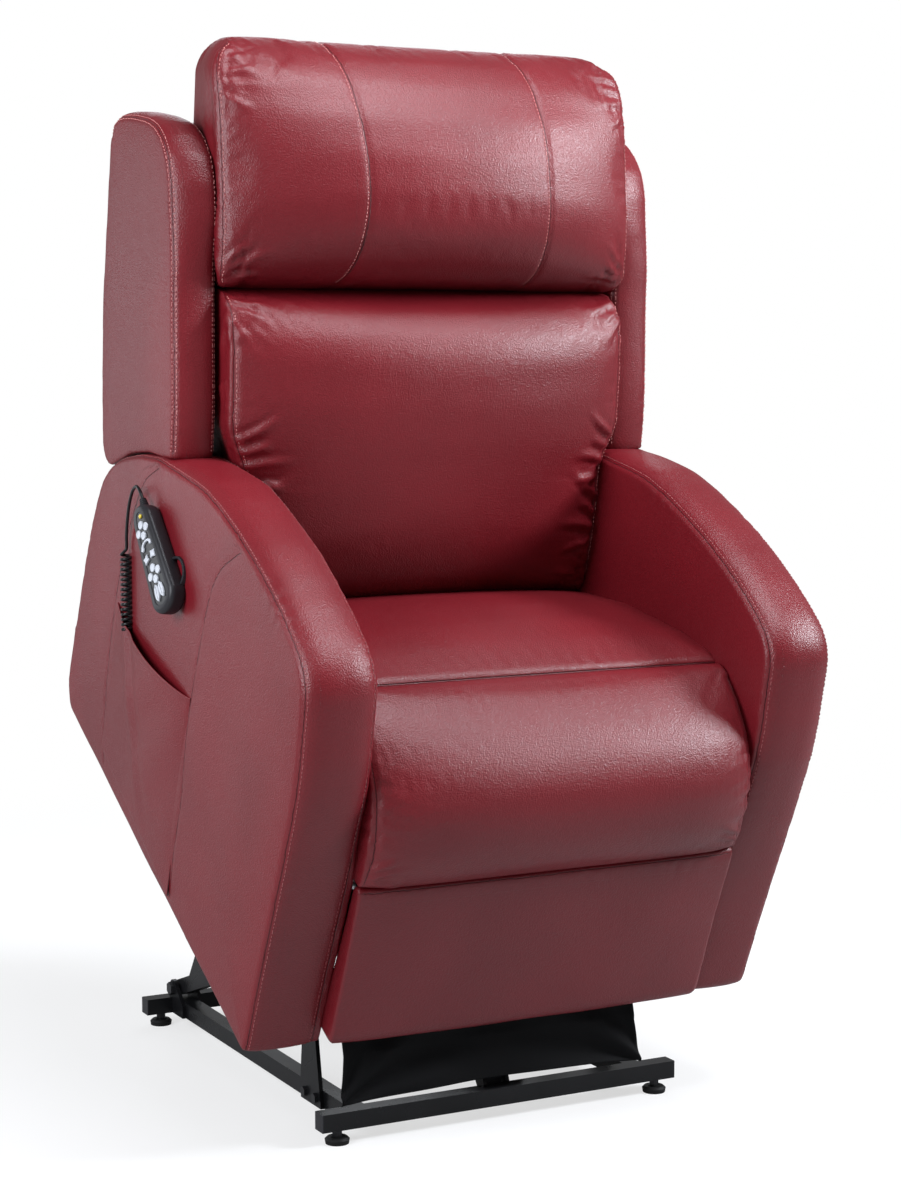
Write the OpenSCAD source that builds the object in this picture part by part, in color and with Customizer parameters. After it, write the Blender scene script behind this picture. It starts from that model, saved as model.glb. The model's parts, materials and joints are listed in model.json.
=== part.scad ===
// Lift recliner chair: steel base, lift linkage, footrest linkage, reclining back and hand control.
// Rest position is the raised, forward-tilted one. Millimetres, +Z up, the chair faces -Y.

/* [Overall] */
// width over both arms
overall_width = 804; // [780:1:840]
// width of one arm
arm_width = 104; // [96:1:112]
// forward tilt of the raised chair, in degrees
lean = 28.2; // [27.8:0.1:28.6]
// height of the raised chair's front bottom edge above the floor
lift_height = 160; // [158:1:164]

/* [Base] */
// outside width of the square base tube
tube_size = 25.4; // [25.4:0.2:27]
// wall of the base tube
tube_wall = 2; // [1.5:0.1:3]
// how far the cross tubes run past the middle of each side rail
cross_over = 60; // [54:1:76]
// distance between the two cross tubes
base_depth = 679; // [676:1:690]
// centre of each side rail inwards from the arm's inner face
rail_inset = 74.4; // [74:0.1:75]
// diameter of a glide foot
foot_d = 35; // [30:1:40]
// height of the tube above the floor
foot_height = 20; // [18:1:24]

/* [Lift linkage] */
// radius of the main pivot bolts
pivot_r = 6; // [5:0.5:7]
// height of the rear lift arms' box section
lift_arm_h = 25; // [22:1:28]
// thickness of the bracket and gusset plates
plate_t = 6; // [5:0.5:6]
// running clearance of every pin in its hole
run = 0.05; // [0.03:0.01:0.08]

/* [Footrest linkage] */
// length of the drive link and of the idler link up to the board link
crank_len = 182.5; // [180:0.5:185]
// thickness of each flat link
link_t = 4; // [3:0.5:4]
// width of each flat link
link_w = 20; // [18:1:24]
// radius of the linkage pins
link_pin_r = 4; // [3:0.5:5]

/* [Upholstery] */
// rounding of the padded edges
pad_round = 14; // [8:1:20]
// gap between neighbouring soft parts
soft_gap = 0.3; // [0.2:0.1:1]
// depth of the side pocket
pocket_depth = 24; // [23:1:30]

/* [Hand control] */
// length of the hand control
handset_len = 166; // [156:1:175]
// width of the hand control
handset_w = 52; // [50:1:60]
// thickness of the hand control
handset_t = 34; // [30:1:40]
// travel of each key
key_travel = 1; // [0.6:0.1:1.2]

/* [Hidden] */
$fn = 48;

steel = [0.10, 0.10, 0.11];
zinc = [0.62, 0.63, 0.65];
leather = [0.35, 0.05, 0.08];
black = [0.04, 0.04, 0.045];
white = [0.85, 0.86, 0.9];

arm_out = overall_width / 2;
arm_in = arm_out - arm_width;
half_in = arm_in - soft_gap;
tube_top = foot_height + tube_size;
tube_mid = foot_height + tube_size / 2;
rail_centre = arm_in - rail_inset;
cross_half = rail_centre + cross_over;
rail_out = rail_centre + tube_size / 2;
rail_in = rail_centre - tube_size / 2;

// chair datum raised and seated
lift_y = -11;
seat_y = -77.2;
seat_z = 35;
cl = cos(lean);
sl = sin(lean);

// fixed point of the move from seated to raised
dy = lift_y - seat_y;
dz = lift_height - seat_z;
det = 2 * (1 - cl);
pole_y = seat_y + ((1 - cl) * dy - sl * dz) / det;
pole_z = seat_z + (sl * dy + (1 - cl) * dz) / det;

// base pivots and the chair pins that each one carries
rear_y = base_depth - 15;
rear_z = tube_top + 15.6;
front_y = 130;
front_z = tube_top + 109.6;
function swing(by, bz, h) =
  let(phi = atan2(bz - pole_z, by - pole_y), a = phi - lean / 2, d = (h - pole_z) / sin(a))
  [pole_y + d * cos(a), pole_z + d * sin(a)];
rear_seated = swing(rear_y, rear_z, 64.9);
front_seated = swing(front_y, front_z, 119.6);
rear_pin = [rear_seated[0] - seat_y, rear_seated[1] - seat_z];
front_pin = [front_seated[0] - seat_y, front_seated[1] - seat_z];
function raised(p) = [lift_y + cl * p[0] - sl * p[1], lift_height + sl * p[0] + cl * p[1]];
rear_up = raised(rear_pin);
front_up = raised(front_pin);
arm_len = norm([rear_up[0] - rear_y, rear_up[1] - rear_z]);
arm_angle = atan2(rear_up[1] - rear_z, rear_y - rear_up[0]);

// torque tube on the rear lift arms, and the lift actuator
torque_u = 200;
torque_v = 110;
torque_r = 15;
torque_y = rear_y - torque_u * cos(arm_angle) + torque_v * sin(arm_angle);
torque_z = rear_z + torque_u * sin(arm_angle) + torque_v * cos(arm_angle);
motor_y = 30;
motor_z = tube_top + 9.6;
motor_angle = atan2(torque_z - motor_z, torque_y - motor_y);
motor_len = norm([torque_y - motor_y, torque_z - motor_z]);

// footrest linkage, in the chair's own frame
p1 = [150, 230];
crank_a = 274.1;
bar_a = 127.7;
bar_len = 212.4;
bar_gap = 60;
over = 45;
function along(p, a, d) = [p[0] + d * cos(a), p[1] + d * sin(a)];
p2 = along(p1, bar_a, bar_gap);
k1 = along(p1, crank_a, crank_len);
m1 = along(k1, bar_a, bar_gap);
n1 = along(m1, crank_a, over);
j1 = along(k1, bar_a, bar_len);
j2 = along(j1, crank_a, over);
lug_r = 35;
drive_pin = along(p1, crank_a + 40.9, lug_r);
plate_out = arm_in;
plane_a = plate_out - 4 - 0.5 - link_t;
plane_c = plane_a - 0.5 - link_t;
plane_b = plane_c - 0.5 - link_t;
plane_d = plane_b - 0.5 - link_t;
box_half = plate_out - 36;

// back and headrest
back_lean = 21;
back_pin = [640, 260];
frame_half = 20;
wing_in = arm_in + 28;
wing_out = arm_out - 12;
head_v = 505;
head_w = -135;

// recline actuator and footrest actuator, in the chair's own frame
recline_hinge = [250, 200];
recline_arm = 85;
recline_x = -90;
recline_lug = [back_pin[0] + recline_arm * sin(19), back_pin[1] - recline_arm * cos(19)];
foot_hinge = [560, 215];
foot_x = 90;

// arm outline seen from the side
arm_profile = [[-4, 0], [0, 100], [3, 185], [8, 290], [16, 400], [26, 450], [36, 482], [44, 510],
    [52, 537], [61, 551], [74, 562],
  [90, 570], [108, 576], [159, 588], [215, 596], [278, 601], [335, 602], [395, 600], [456, 593], [490, 584],
  [560, 563], [630, 543], [700, 508], [755, 470], [790, 436], [812, 400], [822, 355], [827, 300],
      [828, 245], [822, 130], [814, 29], [789, 0]];
front_reach = min([for (p = arm_profile) raised(p)[0]]);
back_reach = base_depth + max(foot_d, tube_size) / 2;

// hand control on the left arm
hand_mid = [515, 450];
hand_turn = 23;
shift_x = handset_t / 2;
shift_y = -(front_reach + back_reach) / 2;

module placed() translate([shift_x, shift_y, 0]) children();
module chair_at() placed() translate([0, lift_y, lift_height]) rotate([lean, 0, 0]) children();
module back_at() chair_at() translate([0, back_pin[0], back_pin[1]]) rotate([-back_lean, 0, 0]) children();
module both() {
  children();
  mirror([1, 0, 0]) children();
}
// a (y, z) outline drawn as a plate between two x values
module yz(x0, x1) translate([x0, 0, 0]) rotate([90, 0, 90]) linear_extrude(x1 - x0) children();
module pin_x(p, x0, x1, r) translate([x0, p[0], p[1]]) rotate([0, 90, 0]) cylinder(h = x1 - x0, r = r);
module at(p) translate([p[0], p[1]]) children();
module bar2(a, b, w) {
  len = norm([b[0] - a[0], b[1] - a[1]]);
  at(a) circle(d = w);
  at(b) circle(d = w);
  at(a) rotate(atan2(b[1] - a[1], b[0] - a[0])) translate([0, 0.05 - w / 2]) square([len, w - 0.1]);
}
module hole(p, r) at(p) circle(r = r);
// padded solid: full outline in the middle, drawn in by r at both faces
module padded_yz(x0, x1, r) hull() {
  yz(x0 + r, x1 - r) children();
  yz(x0, x1) offset(delta = -r * 0.85) children();
  yz(x0 + r * 0.35, x1 - r * 0.35) offset(delta = -r * 0.3) children();
}
// crowned cushion: from its flat profile at the sides to its full one over the middle
function between(flat, full, t) = [for (i = [0 : len(flat) - 1]) flat[i] + t * (full[i] - flat[i])];
module crowned_yz(half, flat, full) hull() for (s = [[0.93, 0.22], [0.78, 0.58], [0.5, 0.9], [0.16, 1]])
  yz(-s[0] * half, s[0] * half) polygon(between(flat, full, s[1]));
module square_tube_x(half, y, z) translate([-half, y, z]) difference() {
  cube([2 * half, tube_size, tube_size]);
  translate([-1, tube_wall, tube_wall]) cube([2 * half + 2, tube_size - 2 * tube_wall,
      tube_size - 2 * tube_wall]);
}
module stud_holes() {
  for (x = [-1, 1]) translate([x * (cross_half - 26), tube_size / 2, -1]) cylinder(h = tube_wall + 2,
      r = 4 + run);
}
module cross_tube(y) translate([0, y, foot_height]) difference() {
  square_tube_x(cross_half, 0, 0);
  stud_holes();
}

module front_cross_tube() color(steel) placed() {
  cross_tube(-tube_size / 2);
  for (x = [-21, 15]) difference() {
    yz(x, x + plate_t) polygon([[tube_size / 2, foot_height], [tube_size / 2, tube_top],
        [motor_y - 8, motor_z + 12],
      [motor_y + 9, motor_z + 9], [motor_y + 12, motor_z - 4], [motor_y - 6, foot_height + 4]]);
    pin_x([motor_y, motor_z], x - 1, x + plate_t + 1, pivot_r + run);
  }
}
module rear_cross_tube() color(steel) placed() cross_tube(base_depth - tube_size / 2);
module side_rails() color(steel) placed() both() translate([rail_in, tube_size / 2,
    foot_height]) difference() {
  cube([tube_size, base_depth - tube_size, tube_size]);
  translate([tube_wall, -1, tube_wall]) cube([tube_size - 2 * tube_wall, base_depth + 2,
      tube_size - 2 * tube_wall]);
}
module tube_end_caps() color(black) placed() for (y = [0, base_depth]) both() {
  translate([cross_half, y - tube_size / 2, foot_height]) cube([1.6, tube_size, tube_size]);
  translate([cross_half - 10, y - tube_size / 2 + tube_wall, foot_height + tube_wall])
    cube([10, tube_size - 2 * tube_wall, tube_size - 2 * tube_wall]);
}
module glide_feet() color(black) placed() for (y = [0, base_depth]) both() translate([cross_half - 26, y,
    0]) difference() {
  union() {
    cylinder(h = 6, r1 = foot_d / 2 - 1, r2 = foot_d / 2);
    translate([0, 0, 6]) cylinder(h = 3, r1 = foot_d / 2, r2 = foot_d / 2 - 3);
    translate([0, 0, 9]) cylinder(h = 1, r = 9);
  }
  translate([0, 0, 3]) cylinder(h = 10, r = 4 + run);
}
module foot_studs() color(zinc) placed() for (y = [0, base_depth]) both() translate([cross_half - 26, y,
    0]) {
  translate([0, 0, 3]) cylinder(h = tube_top - 10, r = 4);
  translate([0, 0, 10]) cylinder(h = foot_height - 10, r = 7.5, $fn = 6);
}
module upright_outline() difference() {
  union() {
    polygon([[88, foot_height], [157, foot_height], [157, 62], [front_y + 17.6, front_z - 4],
        [front_y - 17.4, front_z - 5]]);
    at([front_y, front_z]) circle(r = 18);
  }
  hole([front_y, front_z], pivot_r + run);
  hole([104, tube_mid], 4 + run);
  hole([141, tube_mid], 4 + run);
}
module front_uprights() color([0.45, 0.46, 0.48]) placed() both() yz(rail_out,
    rail_out + plate_t) upright_outline();
module bracket_outline() difference() {
  union() {
    at([rear_y, rear_z]) circle(r = 14);
    polygon([[rear_y - 42, foot_height], [rear_y + 15, foot_height], [rear_y + 15, tube_top],
        [rear_y + 13.8, rear_z + 2],
      [rear_y - 13, rear_z + 5], [rear_y - 42, tube_top - 6]]);
  }
  hole([rear_y, rear_z], pivot_r + run);
}
module rear_pivot_brackets() color(steel) placed() both() for (x = [rail_out,
    rail_in - plate_t]) difference() {
  yz(x, x + plate_t) bracket_outline();
  translate([x - 1, base_depth - tube_size / 2, foot_height - 1]) cube([plate_t + 2, 40, tube_size + 1]);
}
module base_pivot_bolts() color(zinc) placed() {
  both() {
    pin_x([rear_y, rear_z], rail_in - plate_t - 7, rail_out + plate_t, pivot_r);
    translate([rail_out + plate_t, rear_y, rear_z]) rotate([0, 90, 0]) cylinder(h = 7, r = 11, $fn = 6);
    difference() {
      translate([rail_in - plate_t - 7, rear_y, rear_z]) rotate([0, 90, 0]) cylinder(h = 7, r = 11,
          $fn = 6);
      pin_x([rear_y, rear_z], rail_in - plate_t - 8, rail_in - plate_t, pivot_r);
    }
    pin_x([front_y, front_z], rail_out, rail_out + 2 * plate_t + 0.4, pivot_r);
    pin_x([front_y, front_z], rail_out + 2 * plate_t + 0.4, rail_out + 2 * plate_t + 3.4, 10);
    for (y = [104, 141]) {
      pin_x([y, tube_mid], rail_out, rail_out + plate_t, 4);
      translate([rail_out + plate_t, y, tube_mid]) rotate([0, 90, 0]) cylinder(h = 5, r = 7.5, $fn = 6);
    }
  }
  pin_x([motor_y, motor_z], -24, 24, pivot_r);
}
module fabric_guard() color([0.02, 0.02, 0.02]) placed()
  yz(-cross_half + 21.6, cross_half - 21.6) polygon([[-8, tube_top], [-4.5, tube_top],
      [-23.5, lift_height - 22], [-27, lift_height - 22]]);

// rear lift arms: drawn along the line from the base pivot to the chair pivot
module arm_frame() placed() translate([0, rear_y, rear_z]) rotate([-arm_angle, 0, 0]) children();
module rear_lift_arms() color(steel) arm_frame() both() {
  difference() {
    yz(rail_centre - 10, rail_centre + 10) bar2([0, 0], [-arm_len, 0], lift_arm_h);
    yz(rail_centre - 8, rail_centre + 8) translate([-arm_len + 24,
        -lift_arm_h / 2 + 2]) square([arm_len - 48, lift_arm_h - 4]);
    pin_x([0, 0], rail_centre - 11, rail_centre + 11, pivot_r + run);
    pin_x([-arm_len, 0], rail_centre - 11, rail_centre + 11, pivot_r + run);
  }
  difference() {
    yz(rail_centre - 2.5, rail_centre + 2.5) polygon([[-36, lift_arm_h / 2], [-290, lift_arm_h / 2],
        [-torque_u - 20, torque_v + 8],
      [-torque_u, torque_v + 20], [-torque_u + 20, torque_v + 8]]);
    pin_x([-torque_u, torque_v], rail_centre - 4, rail_centre + 4, 8);
  }
}
module torque_tube() color(steel) arm_frame() {
  difference() {
    pin_x([-torque_u, torque_v], -rail_centre + 2.5, rail_centre - 2.5, torque_r);
    pin_x([-torque_u, torque_v], -rail_centre, rail_centre, torque_r - 2.5);
    translate([-9.4, -torque_u - 20, torque_v - 20]) cube([18.8, 40, 40]);
  }
  for (x = [-15.4, 9.4]) difference() {
    pin_x([-torque_u, torque_v], x, x + plate_t, torque_r + 4);
    pin_x([-torque_u, torque_v], x - 1, x + plate_t + 1, 5);
  }
  pin_x([-torque_u, torque_v], -17, 17, 5);
}
module front_links() color(steel) placed() both() difference() {
  yz(rail_out + plate_t + 0.3, rail_out + 2 * plate_t + 0.3) bar2([front_y, front_z], front_up, 22);
  pin_x([front_y, front_z], rail_out, rail_out + 20, pivot_r + run);
  pin_x(front_up, rail_out, rail_out + 20, pivot_r + 0.6 + run);
}

// linear actuator: s runs from the rear eye along the stroke
module actuator_at(p, a) translate([0, p[0], p[1]]) rotate([a - 90, 0, 0]) children();
module actuator_body(tube_r, tube_len, rod_r, side) {
  difference() {
    union() {
      translate([-12, -14, -12]) cube([24, 28, 40]);
      translate([-17, -18, 16]) cube([34, 36, 40]);
      translate([0, 0, 50]) cylinder(h = tube_len - 50, r = tube_r);
      translate([0, 0, tube_len - 14]) cylinder(h = 14, r = tube_r + 2.5);
      translate([side * 42, 0, 18]) cylinder(h = 112, r = 21);
      translate([side > 0 ? 10 : -46, -15, 18]) cube([36, 30, 34]);
      translate([side * 42, 0, 130]) cylinder(h = 6, r = 13);
    }
    pin_x([0, 0], -20, 20, pivot_r + run);
    translate([0, 0, 60]) cylinder(h = tube_len, r = rod_r + run);
  }
}
// the rod's eye is bored wide and off centre by off, because the lug swings while the stroke runs straight
module actuator_rod(start, len, rod_r, bore, off) difference() {
  union() {
    translate([0, 0, start]) cylinder(h = len - bore - 3 - start, r = rod_r);
    translate([-9, off, len]) rotate([0, 90, 0]) cylinder(h = 18, r = bore + 3.6);
    translate([-9, off - 8, len - bore - 12]) cube([18, 16, 14]);
  }
  translate([-12, off, len]) rotate([0, 90, 0]) cylinder(h = 24, r = bore);
}
module lift_motor() color(black) placed() actuator_at([motor_y, motor_z],
    motor_angle) actuator_body(19, 400, 9, 1);
module lift_rod() color(zinc) placed() actuator_at([motor_y, motor_z],
    motor_angle) actuator_rod(130, motor_len, 9, 8.4, -2);

module lift_frame() color(steel) chair_at() {
  both() {
    difference() {
      yz(rail_in - 6, rail_in - 1) polygon([[18, 15], [24, 13], [300, 13], [462, 26], [465, 238],
          [435, 238], [435, 60], [300, 45], [268, 60], [265, 238],
        [235, 238], [232, 60], [190, 45], [60, 45], [43, 127], [18, 127]]);
      pin_x(rear_pin, rail_in - 8, rail_in, pivot_r + run);
    }
    difference() {
      yz(rail_out + 2 * plate_t + 0.7, rail_out + 3 * plate_t + 0.7) union() {
        bar2(front_pin, [30.5, 112], 30);
      }
      pin_x(front_pin, rail_out, rail_out + 40, pivot_r + run);
      translate([rail_out, 18, 102]) cube([40, 25, 60]);
    }
  }
  translate([-rail_out - 26, 18, 102]) difference() {
    cube([2 * rail_out + 52, 25, 25]);
    translate([-1, 2, 2]) cube([2 * rail_out + 54, 21, 21]);
  }
  translate([-rail_in + 1, 440, 136]) difference() {
    cube([2 * rail_in - 2, 20, 20]);
    translate([-1, 2, 2]) cube([2 * rail_in, 16, 16]);
  }
}
module plate_outline() difference() {
  union() {
    polygon([[96, 262], [128, 212], [560, 196], [600, 200], [655, 240], [660, 250], [655, 280],
        [620, 299], [104, 299]]);
    at(back_pin) circle(r = 20);
    at(p2) circle(r = 12);
  }
  hole(p1, link_pin_r + run);
  hole(p2, link_pin_r + run);
  hole(back_pin, link_pin_r + 2 + run);
  at([340, 248]) square([60, 20], center = true);
}
module mechanism_plates() color(steel) chair_at() both() yz(plate_out - 4, plate_out) plate_outline();
module hanger(p, x, top) for (s = [-1, 1]) translate([x + (s > 0 ? 17.4 : -23.4), 0, 0]) difference() {
  yz(0, plate_t) polygon([[p[0] - 13, top], [p[0] - 13, p[1] - 6], [p[0] - 6, p[1] - 13],
      [p[0] + 6, p[1] - 13], [p[0] + 13, p[1] - 6], [p[0] + 13, top]]);
  pin_x(p, -1, plate_t + 1, pivot_r + run);
}
module mechanism_tubes() color(steel) chair_at() {
  for (y = [240, 440, 550]) translate([-plate_out + 4, y, 238]) difference() {
    cube([2 * plate_out - 8, 20, 20]);
    translate([-1, 2, 2]) cube([2 * plate_out, 16, 16]);
  }
  hanger(recline_hinge, recline_x, 238);
  hanger(foot_hinge, foot_x, 238);
}
module chair_pivot_pins() color(zinc) chair_at() {
  both() {
    pin_x(rear_pin, rail_in - 6, rail_centre + 10.3, pivot_r);
    pin_x(rear_pin, rail_centre + 10.3, rail_centre + 14, 10);
    pin_x(rear_pin, rail_in - 9, rail_in - 6, 11);
    pin_x(front_pin, rail_out + plate_t, rail_out + 3 * plate_t + 0.7, pivot_r);
    pin_x(front_pin, rail_out + plate_t - 3, rail_out + plate_t, 10);
    pin_x(p1, plane_a, plate_out, link_pin_r);
    pin_x(p2, plane_b, plate_out, link_pin_r);
    pin_x(back_pin, plate_out - 9, plate_out, link_pin_r + 2);
  }
  translate([recline_x, 0, 0]) pin_x(recline_hinge, -24, 24, pivot_r);
  translate([foot_x, 0, 0]) pin_x(foot_hinge, -24, 24, pivot_r);
}
module seat_box() color([0.62, 0.48, 0.33]) chair_at() difference() {
  translate([-box_half, 140, 258]) cube([2 * box_half, 440, 42 - soft_gap]);
  translate([-box_half + 18, 158, 250]) cube([2 * box_half - 36, 404, 60]);
}
module seat_springs() color(zinc) chair_at() for (x = [-0.687, -0.229, 0.229,
    0.687] * box_half) for (i = [0 : 7]) {
  y0 = 158 + i * 50.5;
  translate([x + (i % 2 == 0 ? -20 : 20), y0, 290]) rotate([-90, 0, 0]) cylinder(h = 50.5, r = 1.8);
  if (i < 7) translate([x - 21.8, y0 + 50.5, 290]) rotate([0, 90, 0]) cylinder(h = 43.6, r = 1.8);
}
module seat_cushion() color(leather) chair_at() {
  padded_yz(-half_in, half_in, 10)
    polygon([[155 + soft_gap, 300], [155 + soft_gap, 466], [172, 474], [250, 458], [400, 408], [500, 362],
        [560, 330], [580, 315], [580, 300]]);
  crowned_yz(half_in, [[160, 310], [160, 464], [185, 469], [260, 453], [400, 406], [500, 358], [550, 330]],
    [[160, 310], [160, 468], [185, 481], [260, 475], [400, 429], [500, 366], [550, 332]]);
}
module arm_solid() padded_yz(arm_in, arm_out, pad_round) polygon(arm_profile);
module left_arm() color(leather) chair_at() difference() {
  mirror([1, 0, 0]) arm_solid();
  translate([-arm_out - 1, 0, 0]) yz(0, 3.4) polygon([[652, 262], [360, 305], [316, 10], [600, 40]]);
}
module right_arm() color(leather) chair_at() arm_solid();

// side pocket: a thin panel that stands off the left arm, open along its upper edge
module pocket_block(t, grow) hull() {
  translate([-arm_out - 0.01, 0, 0]) mirror([1, 0, 0]) yz(0, 0.4) polygon([[661 - t, 281 + grow],
      [355 + t, 321 + grow], [321 + t, 169], [303 + t, 4 + t], [630 - t, 36 + t], [664 - t, 200]]);
  translate([-arm_out, 0, 0]) mirror([1, 0, 0]) yz(0, pocket_depth - t) polygon([[640 - t, 283 + grow],
      [378 + t, 317 + grow], [372, 270], [420, 180], [560, 170], [634, 230]]);
}
module side_pocket() color(leather) chair_at() difference() {
  pocket_block(0, 0);
  pocket_block(2.5, 30);
}

// hand control: u runs up its length, w across, x out from the arm
module hand_at() chair_at() translate([-arm_out, hand_mid[0],
    hand_mid[1]]) rotate([hand_turn, 0, 0]) rotate([0, -90, 0]) rotate([0, 0, 90]) children();
module hand_shape(w, l) {
  translate([-l / 2 + w / 2, 0]) circle(d = w);
  translate([l / 2 - w * 0.42, 0]) circle(d = w * 0.84);
  polygon([[-l / 2 + w / 2, -w / 2], [-l / 2 + w / 2, w / 2], [l / 2 - w * 0.42, w * 0.42],
      [l / 2 - w * 0.42, -w * 0.42]]);
}
key_h = 4;
key_up = 1.5;
// key places as [along, across, length, width, turn]
keys_a = [[52, 0, 10, 7, 0], [44, -9, 10, 7, 0], [44, 9, 10, 7, 0], [36, 0, 10, 7, 0]];
key_c = [[-1, -9, 12, 9, 20], [-1, 9, 12, 9, -20]];
keys_d = [[-20, 0, 10, 7, 0], [-28, -9, 10, 7, 0], [-28, 9, 10, 7, 0], [-36, 0, 10, 7, 0]];
key_e = [[-57, -6.2, 24, 10, 0], [-57, 6.2, 24, 10, 0]];
key_b = [16, 0, 26, 9, 90];
module key_outline(k, grow) translate([k[0], k[1]]) rotate(k[4]) {
  square([k[2] - k[3], k[3] + 2 * grow], center = true);
  translate([(k[2] - k[3]) / 2, 0]) circle(d = k[3] + 2 * grow);
  translate([-(k[2] - k[3]) / 2, 0]) circle(d = k[3] + 2 * grow);
}
module key_solid(k) color(white) hand_at() translate([0, 0, handset_t - key_h]) difference() {
  linear_extrude(key_h) key_outline(k, 0);
  translate([0, 0, key_h - 0.4]) linear_extrude(1) difference() {
    key_outline(k, 2);
    key_outline(k, -0.5);
  }
}
module key_pocket(k) translate([0, 0,
    handset_t - key_h - key_travel - 0.2]) linear_extrude(20) key_outline(k, 0.2);
module handset_body() color(black) hand_at() {
  difference() {
    union() {
      translate([0, 0, 8]) linear_extrude(handset_t - key_up - 8) hand_shape(handset_w, handset_len);
      translate([0, 0, soft_gap]) linear_extrude(9) hand_shape(handset_w - 12, handset_len - 14);
      translate([handset_len / 2 - 6, 0, 17]) rotate([0, 90, 0]) cylinder(h = 22, r1 = 6, r2 = 4.4);
      for (i = [0 : 3]) translate([handset_len / 2 + i * 4.6, 0, 17]) rotate([0, 90, 0]) cylinder(h = 2.4,
          r = 6.6 - i * 0.5);
    }
    for (k = keys_a) key_pocket(k);
    for (k = key_c) key_pocket(k);
    for (k = keys_d) key_pocket(k);
    for (k = key_e) key_pocket(k);
    key_pocket(key_b);
  }
  translate([-26, -handset_w / 2 + 2, 12]) difference() {
    translate([0, -9, 0]) cylinder(h = 12, r = 14);
    translate([0, -9, -1]) cylinder(h = 14, r = 9);
    translate([-20, 4, -1]) cube([40, 20, 14]);
  }
}
// curly lead from the hand control into the pocket
lead = [[609, 490, 17], [622, 494, 17.5], [637, 492, 18], [649, 482, 18], [656, 465, 17],
  [660, 443, 15.5], [660, 420, 14], [657, 398, 12.6], [652, 384, 11.8], [648, 371, 11.6]];
coil_top = [648, 371];
coil_out = 11.6;
coil_len = 110;
coil_turns = 15;
coil_r = 7.2;
cord_r = 2.4;
coil_steps = 10;
module cord_piece(a, b) hull() {
  translate(a) sphere(r = cord_r, $fn = 8);
  translate(b) sphere(r = cord_r, $fn = 8);
}
function coil_point(i) = let(a = i * 360 / coil_steps, s = coil_len * i / (coil_turns * coil_steps))
  [-arm_out - coil_out - coil_r * cos(a), coil_top[0] - s * sl + coil_r * cl * sin(a),
      coil_top[1] - s * cl - coil_r * sl * sin(a)];
module handset_cord() color(black) chair_at() {
  for (i = [0 : len(lead) - 2]) cord_piece([-arm_out - lead[i][2], lead[i][0], lead[i][1]],
      [-arm_out - lead[i + 1][2], lead[i + 1][0], lead[i + 1][1]]);
  cord_piece([-arm_out - coil_out, coil_top[0], coil_top[1]], coil_point(0));
  for (i = [0 : coil_turns * coil_steps - 1]) cord_piece(coil_point(i), coil_point(i + 1));
}
module control_box() color(black) chair_at() translate([156, 460, 222]) cube([46, 66, 38]);

module drive_links() color(steel) chair_at() {
  both() difference() {
    yz(plane_a, plane_a + link_t) {
      bar2(p1, k1, link_w);
      bar2(p1, drive_pin, link_w + 4);
    }
    pin_x(p1, plane_a - 1, plate_out, link_pin_r + run);
    pin_x(k1, plane_a - 1, plate_out, link_pin_r + run);
  }
  difference() {
    pin_x(drive_pin, -plane_a, plane_a, 10);
    pin_x(drive_pin, -plane_a - 1, plane_a + 1, 8);
    translate([foot_x - 9.4, drive_pin[0] - 15, drive_pin[1] - 15]) cube([18.8, 30, 30]);
  }
  for (x = [foot_x - 15.4, foot_x + 9.4]) pin_x(drive_pin, x, x + plate_t, 15);
  pin_x(drive_pin, foot_x - 17, foot_x + 17, 5);
}
module idler_links() color(steel) chair_at() both() difference() {
  yz(plane_b, plane_b + link_t) bar2(p2, n1, link_w);
  pin_x(p2, plane_b - 1, plate_out, link_pin_r + run);
  pin_x(m1, plane_b - 1, plate_out, link_pin_r + run);
  pin_x(n1, plane_b - 1, plate_out, link_pin_r + run);
}
module board_links() color(steel) chair_at() both() {
  difference() {
    yz(plane_c, plane_c + link_t) bar2(k1, j1, link_w);
    pin_x(j1, plane_c - 1, plate_out, link_pin_r + run);
  }
  pin_x(k1, plane_c + link_t, plane_a + link_t, link_pin_r);
  pin_x(m1, plane_b, plane_c, link_pin_r);
}
module steer_links() color(steel) chair_at() both() {
  difference() {
    yz(plane_d, plane_d + link_t) bar2(n1, j2, link_w);
    pin_x(j2, plane_d - 1, plate_out, link_pin_r + run);
  }
  pin_x(n1, plane_d + link_t, plane_b + link_t, link_pin_r);
}
module footrest_plate() color(steel) chair_at() {
  yz(-plate_out + 13, plate_out - 13) polygon([[4 + soft_gap, 12], [10, 12], [10, 256],
      [4 + soft_gap, 256]]);
  both() {
    yz(plane_b, plane_b + link_t) difference() {
      union() {
        bar2(j1, j2, link_w);
        polygon([[10, 130], [j2[0], j2[1] - 10], [j2[0] + 10, j2[1]], [j1[0] + 9.5, j1[1] + 3], [j1[0],
            j1[1] + 10], [10, 246]]);
      }
    }
    pin_x(j1, plane_b + link_t, plane_c + link_t, link_pin_r);
    pin_x(j2, plane_d, plane_b, link_pin_r);
  }
}
module footrest_pad() color(leather) chair_at() padded_yz(-plate_out + 8, plate_out - 8, 9)
  polygon([[-17, 258], [-12, 262], [0, 262], [4, 258], [4, 13], [0, 9], [-30, 9], [-37, 15], [-38, 29],
      [-30, 120]]);
module chaise_pad() color(leather) chair_at() padded_yz(-plate_out + 9, plate_out - 9, 10)
  polygon([[154.8, 471], [140, 476], [118, 474], [80, 459], [45, 437], [16, 408], [-2, 376], [-12, 330],
      [-17, 280], [-14, 268], [-8, 266],
    [20, 268], [38, 330], [60, 372], [95, 400], [148, 412], [153, 430]]);

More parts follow.
